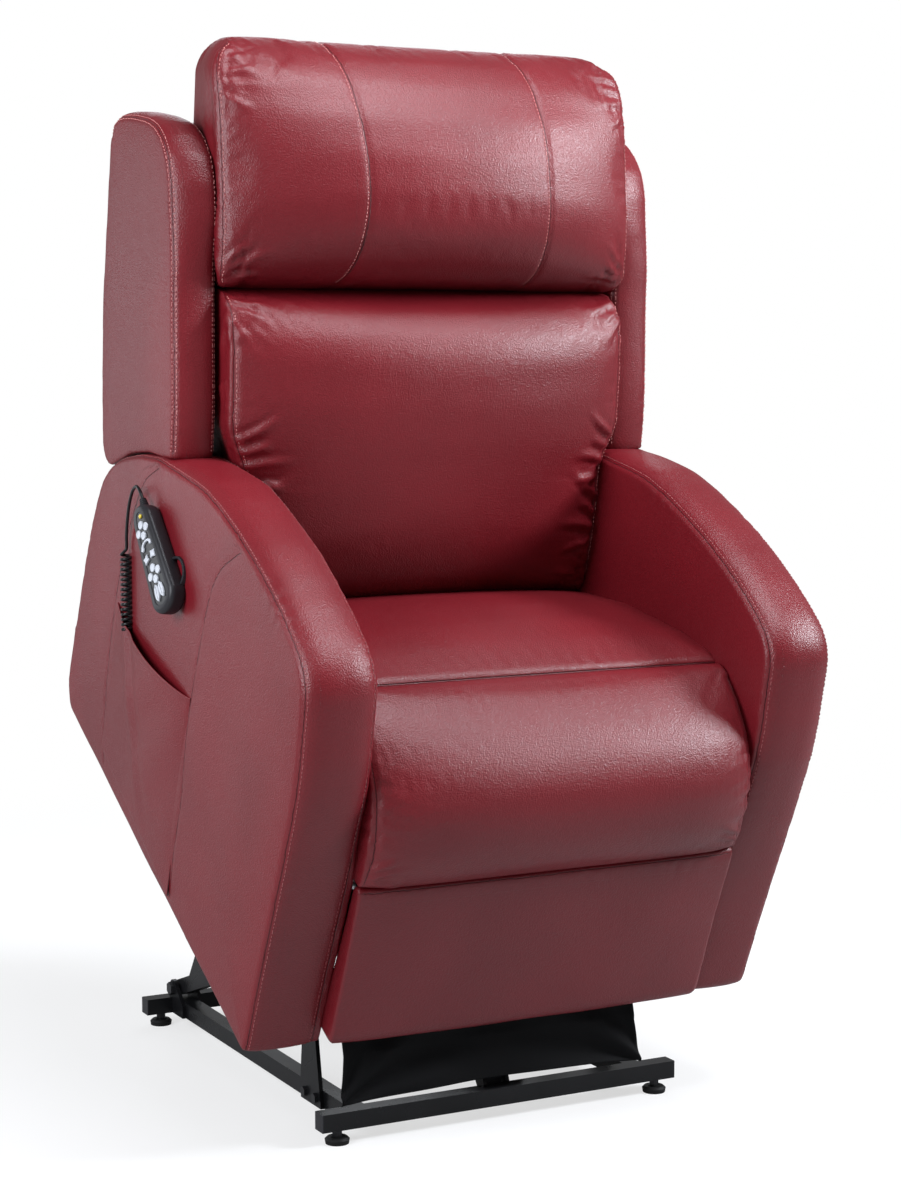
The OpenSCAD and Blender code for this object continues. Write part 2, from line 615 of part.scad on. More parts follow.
module foot_rod_geo(body) {
  a = atan2(drive_pin[1] - foot_hinge[1], drive_pin[0] - foot_hinge[0]);
  d = norm([drive_pin[0] - foot_hinge[0], drive_pin[1] - foot_hinge[1]]);
  chair_at() translate([foot_x, 0, 0]) actuator_at(foot_hinge, a) {
    if (body) actuator_body(17, 300, 8, 1);
    if (!body) actuator_rod(100, d, 8, 10.6, -5.1);
  }
}
module recline_geo(body) {
  a = atan2(recline_lug[1] - recline_hinge[1], recline_lug[0] - recline_hinge[0]);
  d = norm([recline_lug[0] - recline_hinge[0], recline_lug[1] - recline_hinge[1]]);
  chair_at() translate([recline_x, 0, 0]) actuator_at(recline_hinge, a) {
    if (body) actuator_body(17, 330, 8, -1);
    if (!body) actuator_rod(140, d, 8, 7.7, 2.3);
  }
}
module footrest_motor() color(black) foot_rod_geo(true);
module footrest_rod() color(zinc) foot_rod_geo(false);
module recline_motor() color(black) recline_geo(true);
module recline_rod() color(zinc) recline_geo(false);

// back: v runs up the back, w runs rearward
module vw(x0, x1) yz(x0, x1) children();
module back_frame() color(steel) {
  back_at() {
    both() difference() {
      vw(plate_out - 8.5, plate_out - 4.5) {
        circle(r = frame_half);
        translate([-frame_half, 0]) square([2 * frame_half, 430]);
      }
      pin_x([0, 0], plate_out - 12, plate_out, link_pin_r + 2 + run);
    }
    for (v = [24, 230, 410]) translate([-plate_out + 8.5, -10, v]) difference() {
      cube([2 * plate_out - 17, 20, 20]);
      translate([-1, 2, 2]) cube([2 * plate_out, 16, 16]);
    }
  }
  chair_at() {
    for (x = [recline_x - 15.4, recline_x + 9.4]) yz(x, x + plate_t) {
      at(recline_lug) circle(r = 14);
      polygon([[recline_lug[0] - 13.9, recline_lug[1]], [recline_lug[0] + 13.9, recline_lug[1]],
          [back_pin[0] + 32, back_pin[1] + 26], [back_pin[0] + 4, back_pin[1] + 37]]);
    }
    pin_x(recline_lug, recline_x - 17, recline_x + 17, 5);
  }
}
module back_shell() color(leather) back_at() {
  padded_yz(-half_in + 1, half_in - 1, 10) polygon([[frame_half + soft_gap, 40],
      [frame_half + soft_gap, 292], [138, 292], [140, 70], [120, 40]]);
  padded_yz(-wing_in + 0.3, wing_in - 0.3, 10) polygon([[frame_half + soft_gap, 292],
      [frame_half + soft_gap, 500], [144, 500], [138, 292]]);
  padded_yz(-wing_in + 0.3, wing_in - 0.3, 10) polygon([[46 + soft_gap, 500], [46 + soft_gap, 724],
      [138, 724], [144, 500]]);
  padded_yz(-wing_in + 74, wing_in - 74, 10) polygon([[46 + soft_gap, 724], [46 + soft_gap, 796],
      [66, 806], [96, 800], [116, 770], [124, 724]]);
}
module wing_solid() {
  padded_yz(wing_in, wing_out, 12) polygon([[-120, 272], [-120, 470], [-118, 600], [-110, 648],
      [-95, 682], [-70, 708],
    [-38, 723], [0, 730], [60, 732], [110, 730], [140, 720], [150, 690], [165, 454], [158, 330],
        [148, 242]]);
  padded_yz(wing_in, wing_out, 12) polygon([[24, 247], [77, 229], [112, 215], [136, 222], [150, 260],
      [150, 300], [24, 300]]);
}
module left_wing() color(leather) back_at() mirror([1, 0, 0]) wing_solid();
module right_wing() color(leather) back_at() wing_solid();
module lumbar_cushion() color(leather) back_at() {
  padded_yz(-half_in + 2, half_in - 2, 12) polygon([[-frame_half - soft_gap, 60],
      [-frame_half - soft_gap, 292], [-166, 292], [-166, 150], [-150, 60], [-130, 44], [-60, 46]]);
  padded_yz(-wing_in + 0.3, wing_in - 0.3, 12)
    polygon([[-frame_half - soft_gap, 292], [-frame_half - soft_gap, 470], [-40, 496], [-120, 499],
        [-148, 490], [-164, 440], [-168, 350], [-166, 292]]);
  crowned_yz(half_in, [[-60, 70], [-140, 70], [-152, 96], [-158, 150], [-160, 240], [-160, 340],
      [-156, 430], [-142, 474], [-100, 486], [-60, 486]],
    [[-60, 70], [-150, 74], [-186, 96], [-214, 150], [-224, 240], [-220, 340], [-202, 430], [-170, 478],
        [-110, 490], [-60, 486]]);
}
module head_pillow() color(leather) back_at() {
  padded_yz(-wing_in + 10, wing_in - 10, 14)
    polygon([[head_w, head_v], [46, 508], [46, 812], [30, 834], [-10, 846], [-60, 846], [-84, 834],
        [-104, 798], [-120, 750], [-143, 628], [-150, 560], [-146, 518]]);
  crowned_yz(wing_in - 10, [[0, 520], [-130, 520], [-142, 560], [-136, 628], [-112, 750], [-96, 800],
      [-76, 830], [-12, 838], [0, 800]],
    [[0, 520], [-158, 527], [-206, 566], [-224, 640], [-186, 750], [-146, 806], [-92, 850], [-12, 853],
        [0, 800]]);
}

module key_a1() key_solid(keys_a[0]);
module key_a2() key_solid(keys_a[1]);
module key_a3() key_solid(keys_a[2]);
module key_a4() key_solid(keys_a[3]);
module key_b1() key_solid(key_b);
module key_c1() key_solid(key_c[0]);
module key_c2() key_solid(key_c[1]);
module key_d1() key_solid(keys_d[0]);
module key_d2() key_solid(keys_d[1]);
module key_d3() key_solid(keys_d[2]);
module key_d4() key_solid(keys_d[3]);
module key_e1() key_solid(key_e[0]);
module key_e2() key_solid(key_e[1]);

front_cross_tube();
rear_cross_tube();
side_rails();
tube_end_caps();
glide_feet();
foot_studs();
front_uprights();
rear_pivot_brackets();
base_pivot_bolts();
fabric_guard();
rear_lift_arms();
torque_tube();
front_links();
lift_motor();
lift_rod();
lift_frame();
mechanism_plates();
mechanism_tubes();
chair_pivot_pins();
seat_box();
seat_springs();
seat_cushion();
left_arm();
right_arm();
side_pocket();
handset_body();
handset_cord();
control_box();
drive_links();
idler_links();
board_links();
steer_links();
footrest_plate();
footrest_pad();
chaise_pad();
footrest_motor();
footrest_rod();
recline_motor();
recline_rod();
back_frame();
back_shell();
left_wing();
right_wing();
lumbar_cushion();
head_pillow();
key_a1();
key_a2();
key_a3();
key_a4();
key_b1();
key_c1();
key_c2();
key_d1();
key_d2();
key_d3();
key_d4();
key_e1();
key_e2();
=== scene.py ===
import bpy, bmesh, json, math
import numpy as np
from mathutils import Matrix, Vector
from mathutils.bvhtree import BVHTree
from mathutils.kdtree import KDTree

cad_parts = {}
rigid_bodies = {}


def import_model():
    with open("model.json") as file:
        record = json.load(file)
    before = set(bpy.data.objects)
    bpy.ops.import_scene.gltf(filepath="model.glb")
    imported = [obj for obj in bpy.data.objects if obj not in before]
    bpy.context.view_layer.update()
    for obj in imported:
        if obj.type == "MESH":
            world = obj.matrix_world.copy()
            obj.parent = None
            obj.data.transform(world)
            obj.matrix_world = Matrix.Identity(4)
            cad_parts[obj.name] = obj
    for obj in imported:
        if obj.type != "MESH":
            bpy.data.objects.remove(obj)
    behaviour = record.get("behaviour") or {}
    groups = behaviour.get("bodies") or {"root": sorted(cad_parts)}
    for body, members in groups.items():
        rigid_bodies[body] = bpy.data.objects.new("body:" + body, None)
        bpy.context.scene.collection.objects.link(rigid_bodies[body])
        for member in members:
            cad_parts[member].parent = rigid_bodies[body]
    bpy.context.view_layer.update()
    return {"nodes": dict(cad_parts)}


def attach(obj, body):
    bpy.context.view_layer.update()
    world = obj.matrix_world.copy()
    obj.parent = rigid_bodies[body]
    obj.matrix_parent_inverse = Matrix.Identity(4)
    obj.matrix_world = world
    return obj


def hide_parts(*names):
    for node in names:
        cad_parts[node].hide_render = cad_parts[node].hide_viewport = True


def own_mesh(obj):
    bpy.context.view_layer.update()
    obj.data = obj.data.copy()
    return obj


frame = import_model()
shift = (0.017, -0.238784)    # the part's origin sits under the middle of the raised chair
print("frame loaded")
bpy.context.scene.view_settings.view_transform = "Standard"

# the chair's own frame: origin at the arms' front bottom edge, y back, z up, before it is tipped forward
lean = math.radians(28.2)
chairSpace = Matrix.Translation((shift[0], shift[1] - 0.011, 0.160)) @ Matrix.Rotation(lean, 4, "X")
backSpace = chairSpace @ Matrix.Translation((0, 0.640, 0.260)) @ Matrix.Rotation(math.radians(-21), 4, "X")
baseSpace = Matrix.Translation((shift[0], shift[1], 0))

# camera
camSetup = {"place": (-1.650, -3.0128, 1.0938), "turn": -0.4801, "pitch": -0.1022, "lens": 74.02}
camData = bpy.data.cameras.new("camera")
camData.lens = camSetup["lens"]
camData.sensor_width = 36
camera = bpy.data.objects.new("camera", camData)
bpy.context.scene.collection.objects.link(camera)
camera.location = (camSetup["place"][0] + shift[0], camSetup["place"][1] + shift[1], camSetup["place"][2])
camera.rotation_euler = (math.pi / 2 + camSetup["pitch"], 0, camSetup["turn"])
bpy.context.scene.camera = camera


# small helpers
def deselect():
    for o in bpy.context.selected_objects:
        o.select_set(False)


def newMesh(name, verts, faces, smooth=True):
    mesh = bpy.data.meshes.new(name)
    mesh.from_pydata([tuple(v) for v in verts], [], faces)
    mesh.update()
    obj = bpy.data.objects.new(name, mesh)
    bpy.context.scene.collection.objects.link(obj)
    if smooth:
        mesh.shade_smooth()
    return obj


def coords(obj):
    co = np.empty(len(obj.data.vertices) * 3)
    obj.data.vertices.foreach_get("co", co)
    return co.reshape(-1, 3)


def setCoords(obj, co):
    obj.data.vertices.foreach_set("co", np.ascontiguousarray(co, dtype=np.float32).ravel())
    obj.data.update()


def normals(obj):
    out = np.empty(len(obj.data.vertices) * 3, np.float32)
    obj.data.vertex_normals.foreach_get("vector", out)
    return out.reshape(-1, 3).astype(float)


def makeActive(obj):
    deselect()
    obj.select_set(True)
    bpy.context.view_layer.objects.active = obj


def applyModifier(obj, kind, **settings):
    mod = obj.modifiers.new(kind.lower(), kind)
    for key, value in settings.items():
        setattr(mod, key, value)
    makeActive(obj)
    bpy.ops.object.modifier_apply(modifier=mod.name)


def intoSpace(obj, space):
    obj.data.transform(space)
    obj.data.update()
    return obj


# how far x has come from low to high, from 0 to 1
def share(x, low, high):
    return np.clip((x - low) / (high - low), 0, 1)


def smoothStep(x, low, high):
    t = share(x, low, high)
    return t * t * (3 - 2 * t)


# a curve through places and values, rounded off over reach
def eased(x, places, values, reach):
    offsets = np.linspace(-1.5, 1.5, 13)
    weights = np.exp(-offsets ** 2)
    total = sum(w * np.interp(x + o * reach, places, values) for o, w in zip(offsets, weights))
    return total / weights.sum()


# a smooth line through points, evenly spaced
def smoothLine(points, step=0.003):
    p = np.array(points, float)
    out = []
    for i in range(len(p) - 1):
        a, b = p[i], p[i + 1]
        before = p[i - 1] if i > 0 else 2 * a - b
        after = p[i + 2] if i < len(p) - 2 else 2 * b - a
        second = 2 * before - 5 * a + 4 * b - after
        third = 3 * a - before - 3 * b + after
        for t in np.linspace(0, 1, 24, endpoint=False):
            out.append(0.5 * ((2 * a) + (b - before) * t + second * t**2 + third * t**3))
    out = np.array(out + [p[-1]])
    along = alongLine(out)
    count = max(2, int(round(along[-1] / step)))
    at = np.linspace(0, along[-1], count + 1)
    return np.column_stack([np.interp(at, along, out[:, k]) for k in range(out.shape[1])])


# length run at each point of a line
def alongLine(points):
    return np.concatenate([[0], np.cumsum(np.linalg.norm(np.diff(points, axis=0), axis=1))])


# tree of places, for the nearest one
def nearTree(points):
    tree = KDTree(len(points))
    for i, p in enumerate(points):
        tree.insert(Vector(p), i)
    tree.balance()
    return tree


# a sheet of quads, placed by a function of its column and row
def gridMesh(name, across, down, place):
    n = across + 1
    verts = [place(i, j) for j in range(down + 1) for i in range(n)]
    faces = [(j * n + i, j * n + i + 1, (j + 1) * n + i + 1, (j + 1) * n + i)
             for j in range(down) for i in range(across)]
    return newMesh(name, verts, faces)


# smooth random wave from a seed, used for small hand-made irregularity
def waves(seed, count, low, high):
    rng = np.random.default_rng(seed)
    terms = [(rng.normal(size=3) * rng.uniform(low, high), rng.uniform(0, 6.28)) for _ in range(count)]
    return lambda co: sum(np.sin(co @ k + ph) for k, ph in terms) / math.sqrt(count)


# materials
class Socket:
    def __init__(self, tree, link):
        self.tree, self.link = tree, link

    def math(self, kind, other, swap=False):
        node = self.tree.nodes.new("ShaderNodeMath")
        node.operation = kind
        first, second = (other, self) if swap else (self, other)
        for slot, value in enumerate((first, second)):
            if isinstance(value, Socket):
                self.tree.links.new(value.link, node.inputs[slot])
            elif value is not None:
                node.inputs[slot].default_value = value
        return Socket(self.tree, node.outputs[0])

    def __add__(self, o): return self.math("ADD", o)
    def __radd__(self, o): return self.math("ADD", o, True)
    def __sub__(self, o): return self.math("SUBTRACT", o)
    def __rsub__(self, o): return self.math("SUBTRACT", o, True)
    def __mul__(self, o): return self.math("MULTIPLY", o)
    def __rmul__(self, o): return self.math("MULTIPLY", o, True)
    def __truediv__(self, o): return self.math("DIVIDE", o)
    def __pow__(self, o): return self.math("POWER", o)
    def __abs__(self): return self.math("ABSOLUTE", None)


class Nodes:
    def __init__(self, owner):
        self.owner = owner
        owner.use_nodes = True
        self.tree = owner.node_tree
        self.tree.nodes.clear()

    # one way to make any node: settings first, then the values or links of its sockets
    def node(self, kind, settings=None, **inputs):
        made = self.tree.nodes.new("ShaderNode" + kind)
        for key, value in (settings or {}).items():
            if key == "stops":
                ramp = made.color_ramp
                while len(ramp.elements) < len(value):
                    ramp.elements.new(0.5)
                for element, (place, colour) in zip(ramp.elements, value):
                    element.position, element.color = place, colour
            else:
                setattr(made, key, value)
        for key, value in inputs.items():
            name = key.replace("_", " ")
            socket = made.inputs[int(key[1:])] if key[0] == "i" and key[1:].isdigit() else made.inputs[name]
            if isinstance(value, Socket):
                self.tree.links.new(value.link, socket)
            else:
                socket.default_value = value
        return made

    def out(self, made, name=0):
        return Socket(self.tree, made.outputs[name])

    def place(self, scale=None):
        spot = self.out(self.node("TexCoord"), "Object")
        return self.out(self.node("Mapping", Vector=spot, Scale=scale)) if scale else spot

    def noise(self, scale, detail=2.0, rough=0.5, vector=None):
        spot = vector or self.place()
        made = self.node("TexNoise", Vector=spot, Scale=scale, Detail=detail, Roughness=rough)
        return self.out(made, "Fac")

    def mixColour(self, amount, a, b):
        made = self.node("Mix", {"data_type": "RGBA", "clamp_factor": True}, i0=amount, i6=a, i7=b)
        return Socket(self.tree, made.outputs[2])

    def ramp(self, value, low, high):
        made = self.node("MapRange", {"interpolation_type": "SMOOTHSTEP"},
                         Value=value, From_Min=low, From_Max=high, To_Min=0.0, To_Max=1.0)
        return Socket(self.tree, made.outputs[0])

    def bump(self, height, strength, distance):
        return self.out(self.node("Bump", Height=height, Strength=strength, Distance=distance), "Normal")

    def mixShader(self, amount, first, second):
        made = self.node("MixShader", i0=amount)
        for slot, shader in ((1, first), (2, second)):
            self.tree.links.new(shader.outputs[0], made.inputs[slot])
        return made

    def output(self, kind, shader):
        self.tree.links.new(shader.outputs[0], self.node(kind).inputs[0])

    def finish(self, **inputs):
        self.output("OutputMaterial", self.node("BsdfPrincipled", **inputs))
        return self.owner


def newFinish(name):
    return Nodes(bpy.data.materials.new(name))


leatherLook = {"dark": (0.142, 0.0052, 0.0100, 1), "light": (0.176, 0.0070, 0.0130, 1),
               "seamGrooveShade": (0.030, 0.002, 0.004, 1), "pit": 0.45, "pebble": 540.0, "crease": 230.0,
               "rough": 0.385, "shine": 0.46, "bump": 0.75, "depth": 0.0007}


def leatherFinish():
    f = newFinish("leather")
    spot = f.place()
    pebble = f.out(f.node("TexVoronoi", {"feature": "SMOOTH_F1"},
                          Vector=spot, Scale=leatherLook["pebble"], Smoothness=0.5), "Distance")
    crease = f.noise(leatherLook["crease"], 3.0, 0.6, spot)
    wide = f.noise(38.0, 2.0, 0.5, spot)
    cloudy = f.noise(4.0, 2.0, 0.5, spot)
    dark = leatherLook["dark"]
    pit = tuple(c * leatherLook["pit"] for c in dark[:3]) + (1,)
    colour = f.mixColour(f.ramp(cloudy * 0.7 + crease * 0.3, 0.36, 0.66), dark, leatherLook["light"])
    colour = f.mixColour(f.ramp(pebble, 0.25, 0.75) * 0.16, colour, pit)
    line = f.out(f.node("Attribute", {"attribute_name": "seam"}), "Fac")
    # painted shade: near each seam the leather is darkened almost to black, standing for the shade in the
    # seam's gap, and the bump sinks a groove there
    seamGrooveShade = 1.0 - f.ramp(abs(line), 0.0002, 0.0012)
    colour = f.mixColour(seamGrooveShade * 0.8, colour, leatherLook["seamGrooveShade"])
    height = pebble * 0.8 + crease * 0.75 + wide * 0.25 - seamGrooveShade * 2.0
    rough = leatherLook["rough"] + (crease - 0.5) * 0.14 + (wide - 0.5) * 0.06
    return f.finish(Base_Color=colour, Roughness=rough, Specular_IOR_Level=leatherLook["shine"],
                    Normal=f.bump(height, leatherLook["bump"], leatherLook["depth"]))


leather = leatherFinish()


def threadFinish(name, dark, light):
    f = newFinish(name)
    twist = f.noise(900.0, 1.0)
    return f.finish(Base_Color=f.mixColour(twist, dark, light), Roughness=0.55)


thread = threadFinish("thread", (0.42, 0.130, 0.125, 1), (0.66, 0.29, 0.27, 1))
threadDeep = threadFinish("deep_thread", (0.26, 0.050, 0.055, 1), (0.42, 0.13, 0.13, 1))


# painted, plated or moulded surface: dark and light tones, roughness range, then what isn't plain plastic
def paintFinish(name, dark, light, roughLow, roughHigh, metal=0.0, grain=700.0, depth=0.00012, shine=0.5):
    f = newFinish(name)
    fine = f.noise(grain, 2.0)
    tone = f.ramp(f.noise(9.0, 3.0), 0.3, 0.7)
    return f.finish(Base_Color=f.mixColour(tone, dark + (1,), light + (1,)),
                    Roughness=roughLow + tone * (roughHigh - roughLow),
                    Metallic=metal, Specular_IOR_Level=shine, Normal=f.bump(fine, 0.3, depth))


steelPaint = paintFinish("black_powder_coat", (0.0045, 0.0045, 0.005), (0.008, 0.008, 0.009),
                          0.24, 0.34, shine=0.26)
satinSteel = paintFinish("satin_mechanism", (0.006, 0.006, 0.0065), (0.011, 0.011, 0.012),
                          0.28, 0.38, shine=0.30)
zincFinish = paintFinish("zinc_plate", (0.42, 0.42, 0.44), (0.6, 0.6, 0.62), 0.25, 0.4, 1.0, 400.0, 0.00005)
plasticBlack = paintFinish("black_plastic", (0.014, 0.0135, 0.016), (0.021, 0.020, 0.024), 0.34, 0.44,
                           grain=1400.0, shine=0.32)
rubberBlack = paintFinish("black_rubber", (0.006, 0.006, 0.006), (0.010, 0.010, 0.010), 0.5, 0.65, shine=0.25)
keyWhite = paintFinish("key_white", (0.50, 0.52, 0.57), (0.60, 0.62, 0.67), 0.35, 0.45)
amberLens = paintFinish("amber_lens", (0.62, 0.46, 0.04), (0.75, 0.60, 0.08), 0.12, 0.2, 0.0, 900.0, 0.00002)
darkZinc = paintFinish("black_zinc", (0.020, 0.020, 0.022), (0.035, 0.035, 0.038),
                        0.26, 0.36, 0.6, 400.0, 0.00005)
plateBlack = paintFinish("inset_black", (0.004, 0.004, 0.0045), (0.007, 0.007, 0.008), 0.24, 0.32,
                         grain=1600.0, depth=0.00004)
cordSkin = paintFinish("cord_skin", (0.006, 0.006, 0.007), (0.010, 0.010, 0.011), 0.28, 0.38, shine=0.35)


def woodFinish():
    f = newFinish("plywood")
    grain = f.noise(14.0, 4.0, 0.6, f.place((1, 8, 8)))
    colour = f.mixColour(f.ramp(grain, 0.3, 0.7), (0.40, 0.27, 0.15, 1), (0.56, 0.41, 0.26, 1))
    return f.finish(Base_Color=colour, Roughness=0.6, Normal=f.bump(grain, 0.2, 0.0004))


def knitFinish():
    f = newFinish("black_knit")
    weave = f.out(f.node("TexWave", {"wave_type": "BANDS", "bands_direction": "X"},
                         Vector=f.place(), Scale=420.0, Distortion=1.2), "Fac")
    fine = f.noise(900.0, 2.0)
    colour = f.mixColour(fine, (0.0025, 0.0025, 0.003, 1), (0.0060, 0.0060, 0.0066, 1))
    return f.finish(Base_Color=colour, Roughness=0.72, Specular_IOR_Level=0.12,
                    Normal=f.bump(weave * 0.6 + fine * 0.6, 0.4, 0.0004))


plywood = woodFinish()
blackKnit = knitFinish()
print("finishes made")


def wear(obj, finish):
    obj.data.materials.clear()
    obj.data.materials.append(finish)
    return obj


# hand control's lead: straight out of the strain relief, over, down and coiled into the pocket
armOuter = 0.402
cordSetup = {"radius": 0.0024, "coilRadius": 0.0072, "coilTop": (0.648, 0.371), "coilOut": 0.0116,
             "coilLength": 0.110, "turns": 15, "perTurn": 16}
leadRoute = [(609, 490, 19), (622, 494.5, 19.5), (637, 493, 19), (649, 482, 18), (656, 465, 17),
             (660, 443, 15.5), (660, 420, 14), (657, 398, 12.6), (652, 384, 11.8), (648, 371, 11.6)]


def makeCord():
    sine, cosine = math.sin(lean), math.cos(lean)
    lead = smoothLine([(-armOuter - x / 1000, y / 1000, z / 1000) for y, z, x in leadRoute], 0.004)
    coil = []
    r, (topY, topZ) = cordSetup["coilRadius"], cordSetup["coilTop"]
    steps = cordSetup["turns"] * cordSetup["perTurn"]
    for i in range(steps + 1):
        a, s = i * 2 * math.pi / cordSetup["perTurn"], cordSetup["coilLength"] * i / steps
        coil.append((-armOuter - cordSetup["coilOut"] - r * math.cos(a),
                     topY - s * sine + r * cosine * math.sin(a),
                     topZ - s * cosine - r * sine * math.sin(a)))
    route = np.vstack([lead[:-2], np.array(coil)])
    curve = bpy.data.curves.new("hand_cord", "CURVE")
    curve.dimensions = "3D"
    curve.bevel_depth = cordSetup["radius"]
    curve.bevel_resolution = 3
    spline = curve.splines.new("POLY")
    spline.points.add(len(route) - 1)
    for point, place in zip(spline.points, route):
        point.co = tuple(chairSpace @ Vector(place)) + (1,)
    spline.use_smooth = True
    obj = bpy.data.objects.new("hand_cord", curve)
    bpy.context.scene.collection.objects.link(obj)
    curve.materials.append(cordSkin)
    length = float(alongLine(route)[-1])
    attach(obj, "chair")
    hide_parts("handset_cord")


makeCord()
print("cord made")


# padded pieces
# side outline in millimetres, walked at an even step and rounded at its corners
def roundOutline(points, soft=0.010, step=0.004):
    p = np.array(points, float) / 1000
    p = np.vstack([p, p[:1]])
    along = alongLine(p)
    count = int(round(along[-1] / step))
    at = np.arange(count) * along[-1] / count
    ring = np.column_stack([np.interp(at, along, p[:, k]) for k in (0, 1)])
    reach = int(4 * soft / step)
    weight = np.exp(-0.5 * (np.arange(-reach, reach + 1) * step / soft) ** 2)
    weight /= weight.sum()
    return sum(w * np.roll(ring, i, axis=0) for i, w in zip(range(-reach, reach + 1), weight))


def outwards(ring):
    tangent = np.roll(ring, -1, 0) - np.roll(ring, 1, 0)
    normal = np.column_stack([tangent[:, 1], -tangent[:, 0]])
    normal /= np.linalg.norm(normal, axis=1, keepdims=True)
    area = (ring[:, 0] * np.roll(ring[:, 1], -1) - np.roll(ring[:, 0], -1) * ring[:, 1]).sum()
    return normal if area > 0 else -normal


# padded block: a band that follows the outline and is crowned between its two side faces, which are domed
def loftPad(name, ring, xLow, xHigh, crown, dome=0.0, domeReach=0.05, voxel=0.0046):
    normal = outwards(ring)
    n, rows = len(ring), 33
    verts, faces = [], []
    for k in range(rows):
        u = math.sin((k / (rows - 1) - 0.5) * math.pi)
        x = (xLow + xHigh) / 2 + u * (xHigh - xLow) / 2
        lift = crown(ring, normal, u)
        if np.ndim(lift) == 2:
            edge = ring + lift
        else:
            edge = ring + normal * np.reshape(lift, (-1, 1))
        verts += [(x, p[0], p[1]) for p in edge]
        if k:
            last, this = (k - 1) * n, k * n
            faces += [(last + i, last + (i + 1) % n, this + (i + 1) % n, this + i) for i in range(n)]
    faces += [tuple(range(n)), tuple(range((rows - 1) * n, rows * n))]
    obj = newMesh(name, verts, faces)
    mesh = obj.data
    bm = bmesh.new()
    bm.from_mesh(mesh)
    bmesh.ops.triangulate(bm, faces=[f for f in bm.faces if len(f.verts) > 4])
    bmesh.ops.recalc_face_normals(bm, faces=bm.faces)
    bm.to_mesh(mesh)
    bm.free()
    makeActive(obj)
    mesh.remesh_voxel_size = voxel
    bpy.ops.object.voxel_remesh()
    applyModifier(obj, "SMOOTH", factor=0.5, iterations=3)
    if dome:
        co = coords(obj)
        kd = nearTree(np.column_stack([np.zeros(n), ring]))
        flat = np.abs(normals(obj)[:, 0])
        for i in np.nonzero(flat > 0.6)[0]:
            away = kd.find(Vector((0, co[i, 1], co[i, 2])))[2]
            side = 1 if co[i, 0] > (xLow + xHigh) / 2 else -1
            amount = dome(side) if callable(dome) else dome
            co[i, 0] += side * amount * (1 - math.exp(-away / domeReach)) * min(1, (flat[i] - 0.6) / 0.3)
        setCoords(obj, co)
    obj.data.shade_smooth()
    return obj


# copy of a soft solid, remeshed evenly and rounded off, in the space it is shaped in
def padFrom(node, space, name, voxel, rounds):
    mesh = frame["nodes"][node].data.copy()
    obj = bpy.data.objects.new(name, mesh)
    bpy.context.scene.collection.objects.link(obj)
    mesh.transform(space.inverted())
    bm = bmesh.new()
    bm.from_mesh(mesh)
    bmesh.ops.remove_doubles(bm, verts=bm.verts, dist=1e-5)
    bm.to_mesh(mesh)
    bm.free()
    makeActive(obj)
    mesh.remesh_voxel_size = voxel
    bpy.ops.object.voxel_remesh()
    applyModifier(obj, "SMOOTH", factor=0.5, iterations=rounds)
    obj.data.shade_smooth()
    return obj


# cloth under pressure: the cover swells and creases between its pinned seams; its travel levels off at cap
def inflate(obj, cap, pressure, pinned, spare, frames=8):
    scene = bpy.context.scene
    rest = coords(obj)
    mod = obj.modifiers.new("cloth", "CLOTH")
    cloth = mod.settings
    cloth.quality = 5
    cloth.mass = 0.25
    cloth.tension_stiffness = 14
    cloth.compression_stiffness = 14
    cloth.shear_stiffness = 5
    cloth.bending_stiffness = 0.5
    cloth.use_pressure = True
    cloth.uniform_pressure_force = pressure
    cloth.shrink_min = -spare
    cloth.effector_weights.gravity = 0
    mod.collision_settings.use_collision = False
    group = obj.vertex_groups.new(name="seams")
    group.add([int(i) for i in np.nonzero(pinned)[0]], 1.0, "REPLACE")
    cloth.vertex_group_mass = "seams"
    mod.point_cache.frame_start = 1
    mod.point_cache.frame_end = frames
    for number in range(1, frames + 1):
        scene.frame_set(number)
    blown = obj.evaluated_get(bpy.context.evaluated_depsgraph_get())
    co = np.empty(len(rest) * 3)
    blown.data.vertices.foreach_get("co", co)
    move = co.reshape(-1, 3) - rest
    size = np.maximum(np.linalg.norm(move, axis=1, keepdims=True), 1e-9)
    move *= cap * np.tanh(size / cap) / size
    obj.modifiers.remove(mod)
    obj.vertex_groups.clear()
    scene.frame_set(1)
    setCoords(obj, rest + move)


# seams: each line is sunk into the surface, its distance is kept for the leather's material,
# which paints shade and sinks a groove along it, and stitches are laid beside it
stitchShape = {"pitch": 0.0052, "length": 0.0036, "radius": 0.00058, "shoulder": 0.72, "sides": 6}
seamNear, seamFar = 0.02, 0.05


def surfaceTree(obj):
    bm = bmesh.new()
    bm.from_mesh(obj.data)
    tree = BVHTree.FromBMesh(bm)
    bm.free()
    return tree


# line laid on the surface: its points, the surface's normal and the line's direction at each
def surfaceLine(tree, line):
    hits = [tree.find_nearest(Vector(p)) for p in line]
    points = np.array([h[0] for h in hits])
    across = np.array([h[1] for h in hits])
    for _ in range(3):
        across[1:-1] = (across[:-2] + across[1:-1] * 2 + across[2:]) / 4
    across /= np.linalg.norm(across, axis=1, keepdims=True)
    tangent = np.gradient(points, axis=0)
    tangent /= np.maximum(np.linalg.norm(tangent, axis=1, keepdims=True), 1e-9)
    return points, across, tangent


def seamDistance(obj):
    found = obj.data.attributes.get("seam")
    if found is None:
        found = obj.data.attributes.new("seam", "FLOAT", "POINT")
        found.data.foreach_set("value", np.full(len(obj.data.vertices), seamFar, np.float32))
    return found


